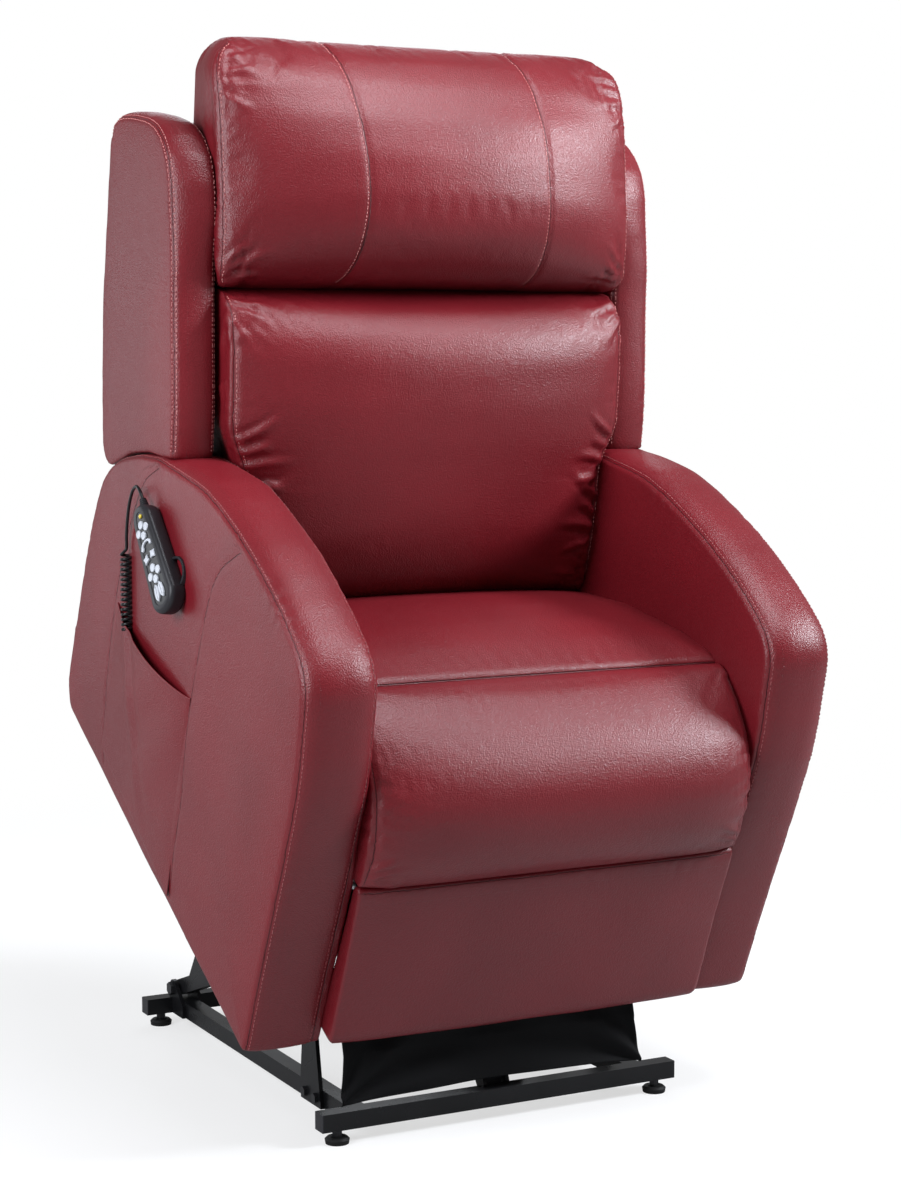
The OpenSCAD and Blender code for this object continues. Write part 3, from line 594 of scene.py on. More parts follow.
# height of the gathers beside a seam, at s along it and distance away from it
def gathers(s, distance, reach, seed):
    s += distance * 0.35 * math.sin(s * 19 + seed)
    ripple = 0.62 - abs(math.cos(s * 118 + 2.4 * math.sin(s * 23 + seed)))
    ripple += 0.35 * (0.6 - abs(math.cos(s * 57 + 1.1 + seed)))
    patch = max(0.12, 0.6 + 0.6 * math.sin(s * 14.0 + 0.7 + seed))
    long = reach * (0.7 + 0.5 * math.sin(s * 31 + 2 * seed))
    return ripple * patch * math.exp(-((distance / long) ** 1.5)) * min(1, distance / 0.006)


def sew(obj, lines, depth, width, pucker, puckerReach, seed=0.0, gather=None):
    co = coords(obj)
    tree = surfaceTree(obj)
    laid = [surfaceLine(tree, line) for line in lines]
    points = np.vstack([l[0] for l in laid])
    cross = np.vstack([np.cross(l[1], l[2]) for l in laid])
    along = np.concatenate([alongLine(l[0]) for l in laid])
    kd = nearTree(points)
    attribute = seamDistance(obj)
    old = np.empty(len(co), np.float32)
    attribute.data.foreach_get("value", old)
    reach = max(seamNear, puckerReach * 2.6)
    low, high = points.min(0) - reach, points.max(0) + reach
    move = np.zeros(len(co))
    for i in np.nonzero(((co > low) & (co < high)).all(axis=1))[0]:
        _, j, distance = kd.find(Vector(co[i]))
        if distance > reach:
            continue
        signed = float(np.dot(co[i] - points[j], cross[j]))
        if distance < abs(old[i]) and distance < seamNear:
            old[i] = math.copysign(distance, signed)
        move[i] -= depth * math.exp(-((distance / width) ** 2))
        if pucker:
            amount = gather(co[i]) if gather else 1
            move[i] -= pucker * amount * gathers(along[j] + seed, distance, puckerReach, seed)
    attribute.data.foreach_set("value", old)
    setCoords(obj, co + normals(obj) * move[:, None])
    return laid


# one stitch: a short round bar with tapered ends
def addStitch(verts, faces, centre, forward, sideways, up):
    r, h, sides = stitchShape["radius"], stitchShape["length"] / 2, stitchShape["sides"]
    base = len(verts)
    verts.append(centre - forward * h - up * r)
    for place in (-stitchShape["shoulder"], stitchShape["shoulder"]):
        for k in range(sides):
            a = k * math.pi / 3
            rim = sideways * (math.cos(a) * r) + up * (math.sin(a) * r)
            verts.append(centre + forward * (h * place) + rim)
    verts.append(centre + forward * h - up * r)
    for k in range(sides):
        m = (k + 1) % sides
        faces.append((base, base + 1 + m, base + 1 + k))
        faces.append((base + 1 + k, base + 1 + m, base + 7 + m, base + 7 + k))
        faces.append((base + 13, base + 7 + k, base + 7 + m))


# rows of stitches at these distances beside laid seams
def stitch(obj, laid, rows, yarn=thread):
    tree = surfaceTree(obj)
    verts, faces = [], []
    for p, n, t in laid:
        length = alongLine(p)
        for row in rows:
            for s in np.arange(stitchShape["pitch"] / 2, length[-1], stitchShape["pitch"]):
                j = min(int(np.searchsorted(length, s)), len(p) - 1)
                hit, up, _, _ = tree.find_nearest(Vector(p[j] + np.cross(n[j], t[j]) * row))
                sideways = up.cross(Vector(t[j])).normalized()
                forward = sideways.cross(up).normalized()
                addStitch(verts, faces, hit + up * (stitchShape["radius"] * 0.4), forward, sideways, up)
    number = len([o for o in bpy.data.objects if o.name.startswith(obj.name + "_stitches")])
    made = newMesh(obj.name + "_stitches_" + str(number), verts, faces)
    wear(made, yarn)
    return made


# soft folds that run out from a corner or an edge: ridges along a direction, fading with distance
def crease(obj, at, along, length, width, height, count=3, spread=0.02, seed=0.0):
    co = coords(obj)
    n = normals(obj)
    at, along = np.array(at, float), np.array(along, float)
    along /= np.linalg.norm(along)
    rel = co - at
    s = rel @ along
    side = rel - s[:, None] * along
    across = np.cross(n, along)
    across /= np.maximum(np.linalg.norm(across, axis=1, keepdims=True), 1e-6)
    d = (rel * across).sum(1)
    far = np.linalg.norm(rel, axis=1) < length * 1.6
    move = np.zeros(len(co))
    for k in range(count):
        offset = (k - (count - 1) / 2) * spread * (1 + s / length * 0.8)
        bend = 0.004 * math.sin(k * 2.1 + seed) * np.sin(s / length * 3)
        ridge = np.exp(-(((d - offset - bend) / (width * (0.7 + 0.6 * s / length))) ** 2))
        end = length * (0.8 + 0.2 * math.sin(k * 3 + seed))
        fade = smoothStep(s, -0.01, 0.012) * (1 - smoothStep(s, length * 0.35, end))
        move += height * ridge * fade * (1 - 0.25 * (k % 2))
        groove = np.exp(-(((d - offset - bend - spread * 0.5) / (width * 0.55)) ** 2))
        move -= height * 0.5 * groove * fade
    move[~far] = 0
    setCoords(obj, co + n * move[:, None])


# the same folds at both ends of a pad; each row is a place, a direction, then crease's own measures
def foldBoth(pad, rows):
    for side in (-1, 1):
        for (x, y, z), (alongY, alongZ), length, width, height, count, spread, seed in rows:
            crease(pad, (side * x, y, z), (-side, alongY, alongZ),
                   length, width, height, count, spread, side + seed)


# finished pad: into the part's frame, with its leather, its body and the solid it stands for
def dress(obj, space, body, node, stitches=()):
    seamDistance(obj)
    wear(obj, leather)
    intoSpace(obj, space)
    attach(obj, body)
    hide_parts(node)
    for s in stitches:
        intoSpace(s, space)
        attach(s, body)
    print("padded piece:", obj.name, len(obj.data.vertices))


def sideLine(points, x):
    return smoothLine([(x, a / 1000, b / 1000) for a, b in points])


def ringLine(ring, x, start, stop, inset=0.0):
    p = ring - outwards(ring) * inset
    part = p[start:stop] if stop > start else np.vstack([p[start:], p[:stop]])
    return smoothLine([(x, a, b) for a, b in part[::3]])


def nearestIndex(ring, point):
    return int(np.argmin(np.linalg.norm(ring - np.array(point) / 1000, axis=1)))


# arms
armSetup = {"inner": 0.298, "crown": 0.016, "power": 2.8, "sideDome": (0.006, 0.003), "soft": 0.008,
            "seamIn": 0.0045, "row": 0.0042, "panelFace": 0.405}
armOutline = [(-9, -9), (-1, 100), (3, 185), (8, 290), (16, 400), (26, 450), (36, 482), (44, 510), (52, 537),
              (61, 551), (74, 562), (90, 570), (108, 576), (159, 588), (215, 596), (278, 601), (335, 602),
              (395, 600), (456, 593), (490, 584), (560, 563), (630, 543), (700, 508), (755, 470), (790, 436),
              (812, 400), (822, 355), (827, 300), (828, 245), (822, 130), (814, 29), (790, -4)]
panelSeams = [[(308, 588), (345, 540), (361, 496), (363, 450), (361, 414), (354, 318), (340, 240), (321, 169),
               (312, 80), (303, 10)],
              [(613, 537), (645, 500), (658, 465), (669, 400), (672, 330), (669, 258), (650, 140), (617, 16)]]


def armCrown(ring, normal, u):
    y, z = ring[:, 0], ring[:, 1]
    top = smoothStep(normal[:, 1], -0.2, 0.5) * smoothStep(z, 0.30, 0.46)
    top *= 1 - 0.85 * smoothStep(y, 0.52, 0.66)
    front = smoothStep(-normal[:, 0], 0.2, 0.8) * (0.22 + 0.78 * smoothStep(z, 0.16, 0.52))
    rear = smoothStep(normal[:, 0], 0.3, 0.8) * 0.3 * (1 - smoothStep(z, 0.30, 0.40))
    amount = np.maximum(np.maximum(top, front), rear)
    return armSetup["crown"] * amount * (1 - abs(u) ** armSetup["power"])


def makeArm(side):
    name = "left_arm" if side < 0 else "right_arm"
    ring = roundOutline(armOutline, armSetup["soft"])
    low, high = sorted((side * armSetup["inner"], side * armOuter))
    outer, inner = armSetup["sideDome"]
    arm = loftPad(name + "_pad", ring, low, high, armCrown,
                  dome=lambda s: outer if s == side else inner, domeReach=0.045, voxel=0.0044)
    co = coords(arm)
    middle = (armSetup["inner"] + armOuter) / 2
    face = smoothStep(middle - co[:, 0] * side, 0.020, 0.050)
    drawnIn = 0.0050 + 0.0016 * (1 - smoothStep(co[:, 1], 0.03, 0.10))
    co[:, 0] -= side * drawnIn * face * (1 - smoothStep(co[:, 2], 0.25, 0.34))
    wave = waves(3 if side < 0 else 5, 9, 8, 22)(co)
    setCoords(arm, co)
    setCoords(arm, co + normals(arm) * (wave * 0.0005)[:, None])
    start, stop = sorted((nearestIndex(ring, (-9, -3)), nearestIndex(ring, (822, 130))))
    outside = side * (armOuter - armSetup["seamIn"] * 0.35)
    inside = side * (armSetup["inner"] + armSetup["seamIn"])
    stitches = []
    for x, row in ((outside, armSetup["row"] * side), (inside, -armSetup["row"] * side)):
        line = ringLine(ring, x, start, stop, -0.001)
        laid = sew(arm, [line], 0.0026, 0.0036, 0.0013, 0.014, side * 0.2 + x)
        stitches.append(stitch(arm, laid, (row,), threadDeep))
    sew(arm, [sideLine(seam, side * armSetup["panelFace"]) for seam in panelSeams], 0.0014, 0.0030, 0, 0)
    dress(arm, chairSpace, "chair", name, stitches)


for side in (-1, 1):
    makeArm(side)


# seat, rolled front and footrest
seatOutline = [(155.0, 300), (155.0, 467), (160, 472), (178, 473), (250, 458), (400, 408), (500, 361),
               (560, 329), (580, 315), (580, 300)]
seatHalf = 0.2972


def makeSeat():
    ring = roundOutline(seatOutline, 0.0028)

    def crown(ring, normal, u):
        top = smoothStep(normal[:, 1], 0.2, 0.8)
        rise = eased(ring[:, 0], [0.155, 0.185, 0.26, 0.40, 0.50, 0.56],
                     [0.000, 0.006, 0.019, 0.022, 0.013, 0.008], 0.022)
        return np.column_stack([np.zeros(len(ring)), top * rise * (1 - abs(u) ** 2.6)])

    seat = loftPad("seat_pad", ring, -seatHalf, seatHalf, crown, voxel=0.0048)
    co = coords(seat)
    edge = (np.abs(co[:, 0]) > 0.285) | (co[:, 1] < 0.168) | (co[:, 2] < 0.345)
    inflate(seat, 0.004, 2.0, edge, 0.001)
    front = smoothLine([(x, 0.1560, 0.470) for x in np.linspace(-0.288, 0.288, 9)])
    sew(seat, [front], 0.0, 0.006, 0.0011, 0.020, 1.0)
    dress(seat, chairSpace, "chair", "seat_cushion")


makeSeat()

rollOutline = [(155.0, 467), (149, 474), (134, 478), (112, 473), (80, 459), (45, 437), (16, 408), (-2, 376),
               (-12, 330), (-17, 280), (-14, 268), (-8, 266), (20, 268), (38, 330), (60, 372), (95, 400),
               (148, 412), (153, 430)]
rollEnd = [(110, 478), (60, 452), (12, 412), (-12, 370), (-26, 320), (-24, 278)]
rollHalf = 0.2935


def makeRoll():
    ring = roundOutline(rollOutline, 0.0045)

    def crown(ring, normal, u):
        front = smoothStep(-normal[:, 0] + 0.7 * normal[:, 1], 0.0, 0.7)
        v = np.clip((ring[:, 1] - 0.262) / (0.474 - 0.262), 0, 1)
        rise = 0.003 + 0.031 * np.sin(np.pi * v ** 0.85)
        return normal * (front * rise * (1 - abs(u) ** 5.0) ** 0.8)[:, None]

    roll = loftPad("rolled_front", ring, -rollHalf, rollHalf, crown, dome=0.003, domeReach=0.02, voxel=0.0044)
    co = coords(roll)
    edge = (np.abs(co[:, 0]) > 0.286) | (co[:, 1] > 0.145) | ((co[:, 2] < 0.275) & (co[:, 1] > -0.02))
    inflate(roll, 0.004, 2.2, edge, 0.002)
    ends = [sideLine(rollEnd, side * 0.2925) for side in (-1, 1)]
    sew(roll, ends, 0.0030, 0.006, 0.0036, 0.030, 2.0,
        gather=lambda p: 0.35 + 1.1 * (1 - share(p[2], 0.29, 0.39)))
    foldBoth(roll, [((0.286, -0.030, 0.290), (-0.05, 0.35), 0.070, 0.006, 0.0030, 3, 0.014, 0)])
    dress(roll, chairSpace, "chaise", "chaise_pad")


makeRoll()

footOutline = [(-17, 262), (-10, 266), (0, 264), (4, 258), (4, 14), (0, 8), (-28, 8), (-36, 13), (-38, 27),
               (-30, 120)]
footHalf = 0.2928


def makeFootPad():
    ring = roundOutline(footOutline, 0.004)

    def crown(ring, normal, u):
        front = smoothStep(-normal[:, 0], 0.3, 0.9)
        v = np.clip((ring[:, 1] - 0.008) / 0.258, 0, 1)
        return front * (0.003 + 0.007 * np.sin(np.pi * v) ** 0.6) * (1 - abs(u) ** 5)

    pad = loftPad("footrest_cover", ring, -footHalf, footHalf, crown,
                  dome=0.0015, domeReach=0.01, voxel=0.0044)
    co = coords(pad)
    low = np.clip((0.028 - co[:, 2]) / 0.020, 0, 1)
    co[:, 0] *= 1 - 0.026 * low ** 2.2
    wave = waves(8, 9, 7, 24)(co)
    setCoords(pad, co)
    setCoords(pad, co + normals(pad) * (wave * 0.0009)[:, None])
    top = smoothLine([(x, -0.020, 0.262) for x in np.linspace(-0.284, 0.284, 9)])
    sew(pad, [top], 0.0010, 0.006, 0.0014, 0.018, 3.0)
    dress(pad, chairSpace, "footrest", "footrest_pad")


makeFootPad()


# back cushions
lumbarOutline = [(-20.3, 60), (-20.3, 470), (-40, 497), (-110, 502), (-146, 494), (-166, 466), (-172, 420),
                 (-176, 350), (-176, 292), (-172, 150), (-158, 62), (-132, 36), (-60, 36)]
lumbarSeam = [(-0.130, 0.496), (-0.160, 0.474), (-0.172, 0.43), (-0.177, 0.36), (-0.177, 0.30),
              (-0.176, 0.24), (-0.172, 0.16), (-0.160, 0.09), (-0.145, 0.06)]
lumbarWide = 0.3200


def lumbarHalf(v):
    return 0.2950 + 0.0250 * smoothStep(v, 0.235, 0.320)


def makeLumbar():
    ring = roundOutline(lumbarOutline, 0.011)

    def crown(ring, normal, u):
        front = smoothStep(-normal[:, 0] + 0.3 * normal[:, 1], 0.1, 0.8)
        rise = eased(ring[:, 1], [0.035, 0.07, 0.10, 0.15, 0.24, 0.34, 0.42, 0.46, 0.50],
                     [0.006, 0.020, 0.038, 0.049, 0.053, 0.055, 0.051, 0.038, 0.004], 0.020)
        return np.column_stack([-front * rise * (1 - abs(u) ** 2.6), np.zeros(len(ring))])

    pad = loftPad("lumbar_pad", ring, -lumbarWide, lumbarWide, crown, voxel=0.0046)
    co = coords(pad)
    co[:, 0] *= lumbarHalf(co[:, 2]) / lumbarWide
    behind = np.clip((co[:, 1] + 0.15) / 0.12, 0, 1)
    co[:, 0] *= 1 - 0.045 * behind ** 1.5
    setCoords(pad, co)
    half = lumbarHalf(co[:, 2])
    edge = (np.abs(co[:, 0]) > half - 0.006) & (co[:, 1] < -0.12) | (co[:, 1] > -0.03)
    inflate(pad, 0.006, 2.6, edge, 0.003)
    seams = [smoothLine([(side * lumbarHalf(v) * 0.994, w - 0.004, v) for w, v in lumbarSeam])
             for side in (-1, 1)]
    laid = sew(pad, seams, 0.0030, 0.006, 0.0030, 0.024, 0.4,
               gather=lambda p: 0.30 + 0.9 * share(p[2], 0.43, 0.48) + 0.9 * (1 - share(p[2], 0.12, 0.20)))
    stitches = [stitch(pad, laid, (0.0040,))]
    foldBoth(pad, [((0.312, -0.170, 0.486), (0.0, -0.75), 0.070, 0.006, 0.0030, 3, 0.018, 0),
                   ((0.298, -0.195, 0.265), (0.0, 0.30), 0.075, 0.0055, 0.0052, 4, 0.021, 0),
                   ((0.290, -0.195, 0.165), (0.0, 0.25), 0.090, 0.0060, 0.0046, 4, 0.024, 0.5),
                   ((0.280, -0.190, 0.085), (0.0, 0.60), 0.070, 0.0055, 0.0036, 3, 0.020, 0.9)])
    dress(pad, backSpace, "backrest", "lumbar_cushion", stitches)


makeLumbar()

pillowOutline = [(-135, 505), (46, 508), (46, 812), (30, 836), (-10, 849), (-60, 850), (-84, 838),
                 (-104, 800), (-120, 750), (-143, 628), (-150, 560), (-146, 518)]
pillowSeam = [(-0.070, 0.846), (-0.086, 0.834), (-0.105, 0.796), (-0.121, 0.748), (-0.134, 0.680),
              (-0.144, 0.626), (-0.150, 0.570), (-0.147, 0.524), (-0.136, 0.510)]
pillowPanels = [[(-0.150, -0.02, 0.862), (-0.147, -0.11, 0.842), (-0.141, -0.18, 0.76), (-0.138, -0.23, 0.66),
                 (-0.140, -0.21, 0.57), (-0.148, -0.15, 0.508)],
                [(0.150, -0.02, 0.862), (0.152, -0.11, 0.842), (0.158, -0.18, 0.76), (0.162, -0.23, 0.66),
                 (0.160, -0.21, 0.57), (0.158, -0.15, 0.508)]]
pillowWide = 0.3240


def pillowHalf(w, v):
    seamW = np.interp(v, [0.503, 0.628, 0.750, 0.852], [-0.141, -0.143, -0.116, -0.083])
    behind = w - seamW
    half = 0.3320 - 0.0090 * smoothStep(behind, 0.004, 0.030) - 0.0200 * smoothStep(behind, 0.030, 0.150)
    top = np.clip((v - 0.795) / 0.057, 0, 1)
    low = np.clip((0.535 - v) / 0.032, 0, 1)
    return half - 0.050 * (1 - np.sqrt(1 - 0.97 * top ** 2)) - 0.014 * (1 - np.sqrt(1 - 0.97 * low ** 2))


def pillowEdge(side, step=0.003):
    return smoothLine([(side * float(pillowHalf(w, v)), w, v) for w, v in pillowSeam], step)


def makePillow():
    ring = roundOutline(pillowOutline, 0.012)

    def crown(ring, normal, u):
        front = smoothStep(-normal[:, 0] + 0.4 * normal[:, 1], 0.0, 0.7)
        rise = eased(ring[:, 1], [0.495, 0.515, 0.54, 0.57, 0.60, 0.64, 0.70, 0.75, 0.80, 0.835, 0.858],
                     [0.000, 0.016, 0.042, 0.063, 0.076, 0.083, 0.079, 0.066, 0.042, 0.018, 0.000], 0.018)
        return np.column_stack([-front * rise * (1 - abs(u) ** 2.3), np.zeros(len(ring))])

    pad = loftPad("pillow_pad", ring, -pillowWide, pillowWide, crown, voxel=0.0046)
    co = coords(pad)
    co[:, 0] *= pillowHalf(co[:, 1], co[:, 2]) / pillowWide
    setCoords(pad, co)
    tree = nearTree(np.vstack([pillowEdge(side, 0.006) for side in (-1, 1)]))
    nearSeam = np.array([tree.find(Vector(p))[2] < 0.007 for p in co])
    inflate(pad, 0.008, 3.0, nearSeam | (co[:, 1] > 0.035), 0.008, frames=10)
    laid = sew(pad, [smoothLine(p) for p in pillowPanels], 0.0026, 0.0042, 0.0007, 0.016, 0.9)
    stitches = [stitch(pad, laid, (-0.0040,))]
    laid = sew(pad, [pillowEdge(side) for side in (-1, 1)], 0.0036, 0.0055, 0.0040, 0.026, 0.1,
               gather=lambda p: 0.55 + 0.5 * share(p[2], 0.66, 0.72))
    stitches.append(stitch(pad, laid, (0.0036,)))
    foldBoth(pad, [((0.316, -0.165, 0.532), (0.0, 0.55), 0.070, 0.006, 0.0028, 3, 0.017, 0),
                   ((0.318, -0.120, 0.800), (0.0, -0.12), 0.060, 0.006, 0.0024, 4, 0.020, 0.3)])
    dress(pad, backSpace, "headrest", "head_pillow", stitches)


makePillow()


# wings and back
wingSetup = {"inner": 0.326, "outer": 0.390, "crown": 0.008, "row": 0.0040}
wingOutline = [(-120, 264), (-120, 470), (-118, 600), (-110, 648), (-95, 682), (-70, 706), (-38, 722),
               (0, 729), (60, 731), (110, 729), (141, 718), (151, 690), (165, 454), (158, 330), (148, 240),
               (135, 219), (112, 212), (77, 226), (30, 244), (-35, 258), (-100, 262)]


# front edge of a wing: turned out at the top and drawn forward low down
def wingLean(co):
    co = co.copy()
    front = 1 - smoothStep(co[:, 1], -0.12, 0.02)
    outer = np.clip((np.abs(co[:, 0]) - wingSetup["inner"]) / (wingSetup["outer"] - wingSetup["inner"]), 0, 1)
    up = smoothStep(co[:, 2], 0.52, 0.62)
    low = 1 - smoothStep(co[:, 2], 0.30, 0.54)
    co[:, 1] += front * (up * (outer * 0.020 - 0.007) - low * 0.020)
    return co


def makeWing(side):
    name = "left_wing" if side < 0 else "right_wing"
    ring = roundOutline(wingOutline, 0.007)

    def crown(ring, normal, u):
        top = smoothStep(normal[:, 1], 0.3, 0.9) * smoothStep(ring[:, 1], 0.4, 0.5)
        front = np.maximum(smoothStep(-normal[:, 0], 0.2, 0.8), top)
        return front * wingSetup["crown"] * (1 - abs(u) ** 2.4)

    low, high = sorted((side * wingSetup["inner"], side * wingSetup["outer"]))
    wing = loftPad(name + "_pad", ring, low, high, crown,
                   dome=lambda s: 0.004 if s == side else 0.0, domeReach=0.03, voxel=0.0042)
    setCoords(wing, wingLean(coords(wing)))
    first, last = sorted((nearestIndex(ring, (150, 700)), nearestIndex(ring, (-120, 272))))
    stitches = []
    for x, depth, pucker, reach, seed in ((0.3890, 0.0022, 0.0009, 0.012, 0.0),
                                          (0.3285, 0.0020, 0.0006, 0.010, 0.7)):
        line = wingLean(ringLine(ring, side * x, first, last))
        laid = sew(wing, [line], depth, 0.0038, pucker, reach, seed)
        stitches.append(stitch(wing, laid, (-wingSetup["row"], wingSetup["row"])))
    dress(wing, backSpace, "backrest", name, stitches)


for side in (-1, 1):
    makeWing(side)


shell = padFrom("back_shell", backSpace, "back_cover", 0.0065, 6)
dress(shell, backSpace, "backrest", "back_shell")


# side pocket: a leather panel sewn to the arm down both sides, whose hemmed mouth stands open
pocketCorners = {"rearTop": (661, 281), "frontTop": (355, 321), "rearLow": (628, 34), "frontLow": (305, 6)}
pocketSetup = {"face": -0.4060, "belly": 0.0165, "thick": 0.0018, "across": 72, "down": 60,
               "columnStep": 0.0045, "height": 0.27, "hemLine": 0.016}


def makePocket():
    across, down = pocketSetup["across"], pocketSetup["down"]
    corner = {k: np.array(v) / 1000 for k, v in pocketCorners.items()}

    def place(i, j):
        s, t = i / across, (j / down) ** 1.15
        top = (1 - s) * corner["rearTop"] + s * corner["frontTop"]
        low = (1 - s) * corner["rearLow"] + s * corner["frontLow"]
        bow = math.sin(math.pi * s) ** 0.75
        p = (1 - t) * top + t * low + np.array((-0.004, -0.010)) * bow * (1 - t) ** 2
        out = pocketSetup["belly"] * bow * (1 - t) ** 0.9
        out += 0.0016 * math.sin((s * 1.2 + t * 0.9) * 11) * bow * (1 - t) * t * 3
        out += 0.0030 * math.exp(-((s - 0.16 - 0.42 * t) / 0.045) ** 2) * bow * (1 - t)
        out -= 0.0026 * math.exp(-((s - 0.27 - 0.42 * t) / 0.05) ** 2) * bow * (1 - t)
        out += 0.0012 * math.exp(-((j / down - 0.010) / 0.020) ** 2)
        return pocketSetup["face"] - out, p[0], p[1]

    obj = gridMesh("pocket_panel", across, down, place)
    # seam distances down both sides and along the hem line, where the leather paints shade into the seam and
    # sinks its groove
    values = []
    for j in range(down + 1):
        hem = abs(j / down * pocketSetup["height"] - pocketSetup["hemLine"])
        for i in range(across + 1):
            values.append(min(seamFar, min(i, across - i) * pocketSetup["columnStep"], hem))
    seamDistance(obj).data.foreach_set("value", values)
    applyModifier(obj, "SOLIDIFY", thickness=pocketSetup["thick"], offset=0.0, use_rim=True)
    applyModifier(obj, "SUBSURF", levels=1, render_levels=1)
    obj.data.shade_smooth()
    wear(obj, leather)
    intoSpace(obj, chairSpace)
    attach(obj, "chair")
    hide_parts("side_pocket")


makePocket()

# hand control: x runs up its length, y across it, z out from the arm
handSpace = (chairSpace @ Matrix.Translation((-armOuter, 0.515, 0.450))
             @ Matrix.Rotation(math.radians(23), 4, "X") @ Matrix.Rotation(math.radians(-90), 4, "Y")
             @ Matrix.Rotation(math.radians(90), 4, "Z") @ Matrix.Translation((0, 0, 0.019))
             @ Matrix.Rotation(math.radians(12), 4, "X") @ Matrix.Translation((0, 0, -0.017)))
handSetup = {"width": 0.052, "top": 0.0612, "low": -0.0630, "narrow": 0.82, "wide": 1.12, "back": 0.004,
             "backEdge": 0.010, "face": 0.0325, "edge": 0.0075, "lip": 0.0042, "rings": 14, "ring": 0.0016}
keySolid = {"depth": 0.005, "location": (0, 0, 0.0315)}
petalPlaces = {"key_a1": (0.0540, 0.0, 0), "key_a2": (0.0450, -0.0105, 0), "key_a3": (0.0450, 0.0105, 0),
               "key_a4": (0.0362, 0.0, 0), "key_d1": (-0.0182, 0.0, 0), "key_d2": (-0.0275, -0.0105, 0),
               "key_d3": (-0.0275, 0.0105, 0), "key_d4": (-0.0368, 0.0, 0)}
starPlaces = {"key_c1": (0.0005, -0.0088, 30), "key_c2": (0.0005, 0.0088, -30)}
leafPlaces = {"key_e1": (-0.057, -0.0058, 5), "key_e2": (-0.057, 0.0058, -5)}
mesh = bpy.ops.mesh


def choose(obj, kind, test):
    mesh.select_mode(type={"verts": "VERT", "edges": "EDGE", "faces": "FACE"}[kind])
    bm = bmesh.from_edit_mesh(obj.data)
    for part in list(bm.verts) + list(bm.edges) + list(bm.faces):
        part.select = False
    for part in getattr(bm, kind):
        part.select = bool(test(part))
    bm.select_flush_mode()
    bmesh.update_edit_mesh(obj.data)


def begin(name, add, **where):
    deselect()
    add(**where)
    obj = bpy.context.active_object
    obj.name = name
    bpy.ops.object.transform_apply(location=True, rotation=True, scale=True)
    bpy.ops.object.mode_set(mode="EDIT")
    return obj


def stretch(x, y, z):
    bpy.ops.transform.resize(value=(x, y, z))


def pull(x):
    mesh.extrude_region_move(TRANSFORM_OT_translate={"value": (x, 0, 0)})


def roundEdges(obj, test, width, segments):
    choose(obj, "edges", test)
    mesh.bevel(offset=width, segments=segments, affect="EDGES")


def finishShape(angle=35):
    mesh.select_all(action="SELECT")
    mesh.remove_doubles(threshold=0.00001)
    mesh.normals_make_consistent(inside=False)
    bpy.ops.object.mode_set(mode="OBJECT")
    bpy.ops.object.shade_smooth_by_angle(angle=math.radians(angle))


def placeHand(obj, body, slot, *nodes):
    intoSpace(obj, handSpace)
    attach(obj, body)
    if nodes:
        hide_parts(*nodes)


def makeHousing():
    back, face = handSetup["back"], handSetup["face"]
    obj = begin("hand_control", mesh.primitive_cylinder_add, vertices=64, radius=handSetup["width"] / 2,
                depth=face - back, location=(0, 0, back + (face - back) / 2))
    for sign, end, width in ((1, handSetup["top"], handSetup["narrow"]),
                             (-1, handSetup["low"], handSetup["wide"])):
        choose(obj, "verts", lambda v: v.co.x * sign > 0.001)
        bpy.ops.transform.translate(value=(end, 0, 0))
        stretch(1, width, 1)
    for level, width in ((face, handSetup["edge"]), (back, handSetup["backEdge"])):
        choose(obj, "edges", lambda e: all(abs(v.co.z - level) < 0.0002 for v in e.verts))
        mesh.bevel(offset=width, segments=5, profile=0.5, affect="EDGES")
    wear(obj, plasticBlack)
    obj.data.materials.append(plateBlack)
    choose(obj, "faces", lambda p: p.normal.z > 0.98 and p.calc_area() > 0.001)
    mesh.inset(thickness=handSetup["lip"], depth=0)
    mesh.inset(thickness=0.0008, depth=-0.0009)
    obj.active_material_index = 1
    bpy.ops.object.material_slot_assign()
    finishShape()
    return obj


def makeHook():
    hook = begin("hand_control_hook", mesh.primitive_plane_add, size=0.0038,
                 location=(-0.019, -0.021, 0.0085), rotation=(math.pi / 2, 0, 0))
    mesh.select_all(action="SELECT")
    stretch(1, 1, 4.0)
    mesh.spin(steps=22, angle=math.radians(190), center=(-0.041, -0.0225, 0.0085), axis=(0, 0, 1))
    roundEdges(hook, lambda e: e.calc_face_angle(0) > 1.0, 0.0011, 2)
    wear(hook, plasticBlack)
    finishShape()
    return hook


def makeRelief():
    relief = begin("strain_relief", mesh.primitive_circle_add, vertices=24, radius=0.0068, fill_type="NGON",
                   location=(0.079, 0, 0.017), rotation=(0, math.pi / 2, 0))
    for k in range(handSetup["rings"]):
        choose(relief, "faces", lambda p: all(v.co.x > 0.0789 + k * handSetup["ring"] for v in p.verts))
        pull(handSetup["ring"])
        scale = (0.80 if k % 2 else 1.20) * 0.985
        stretch(1, scale, scale)
    wear(relief, plasticBlack)
    finishShape(50)
    return relief


def makeHandLamp():
    obj = begin("hand_lamp", mesh.primitive_cylinder_add, vertices=20, radius=0.0032, depth=0.002,
                location=(0.0665, -0.004, 0.0328))
    roundEdges(obj, lambda e: all(v.co.z > 0.0333 for v in e.verts), 0.0011, 3)
    wear(obj, amberLens)
    finishShape()
    return obj


def keyTop(obj, level=0.0330):
    roundEdges(obj, lambda e: all(v.co.z > level for v in e.verts), 0.0008, 2)
    choose(obj, "faces", lambda p: p.normal.z > 0.98 and all(v.co.z > level for v in p.verts))
    mesh.inset(thickness=0.0009, depth=-0.00025)


def setKey(obj, node, u, w, turn):
    obj.name = node + "_cap"
    obj.data.transform(Matrix.Translation((u, w, 0)) @ Matrix.Rotation(math.radians(turn), 4, "Z"))
    wear(obj, keyWhite)
    placeHand(obj, node, "key_white", node)


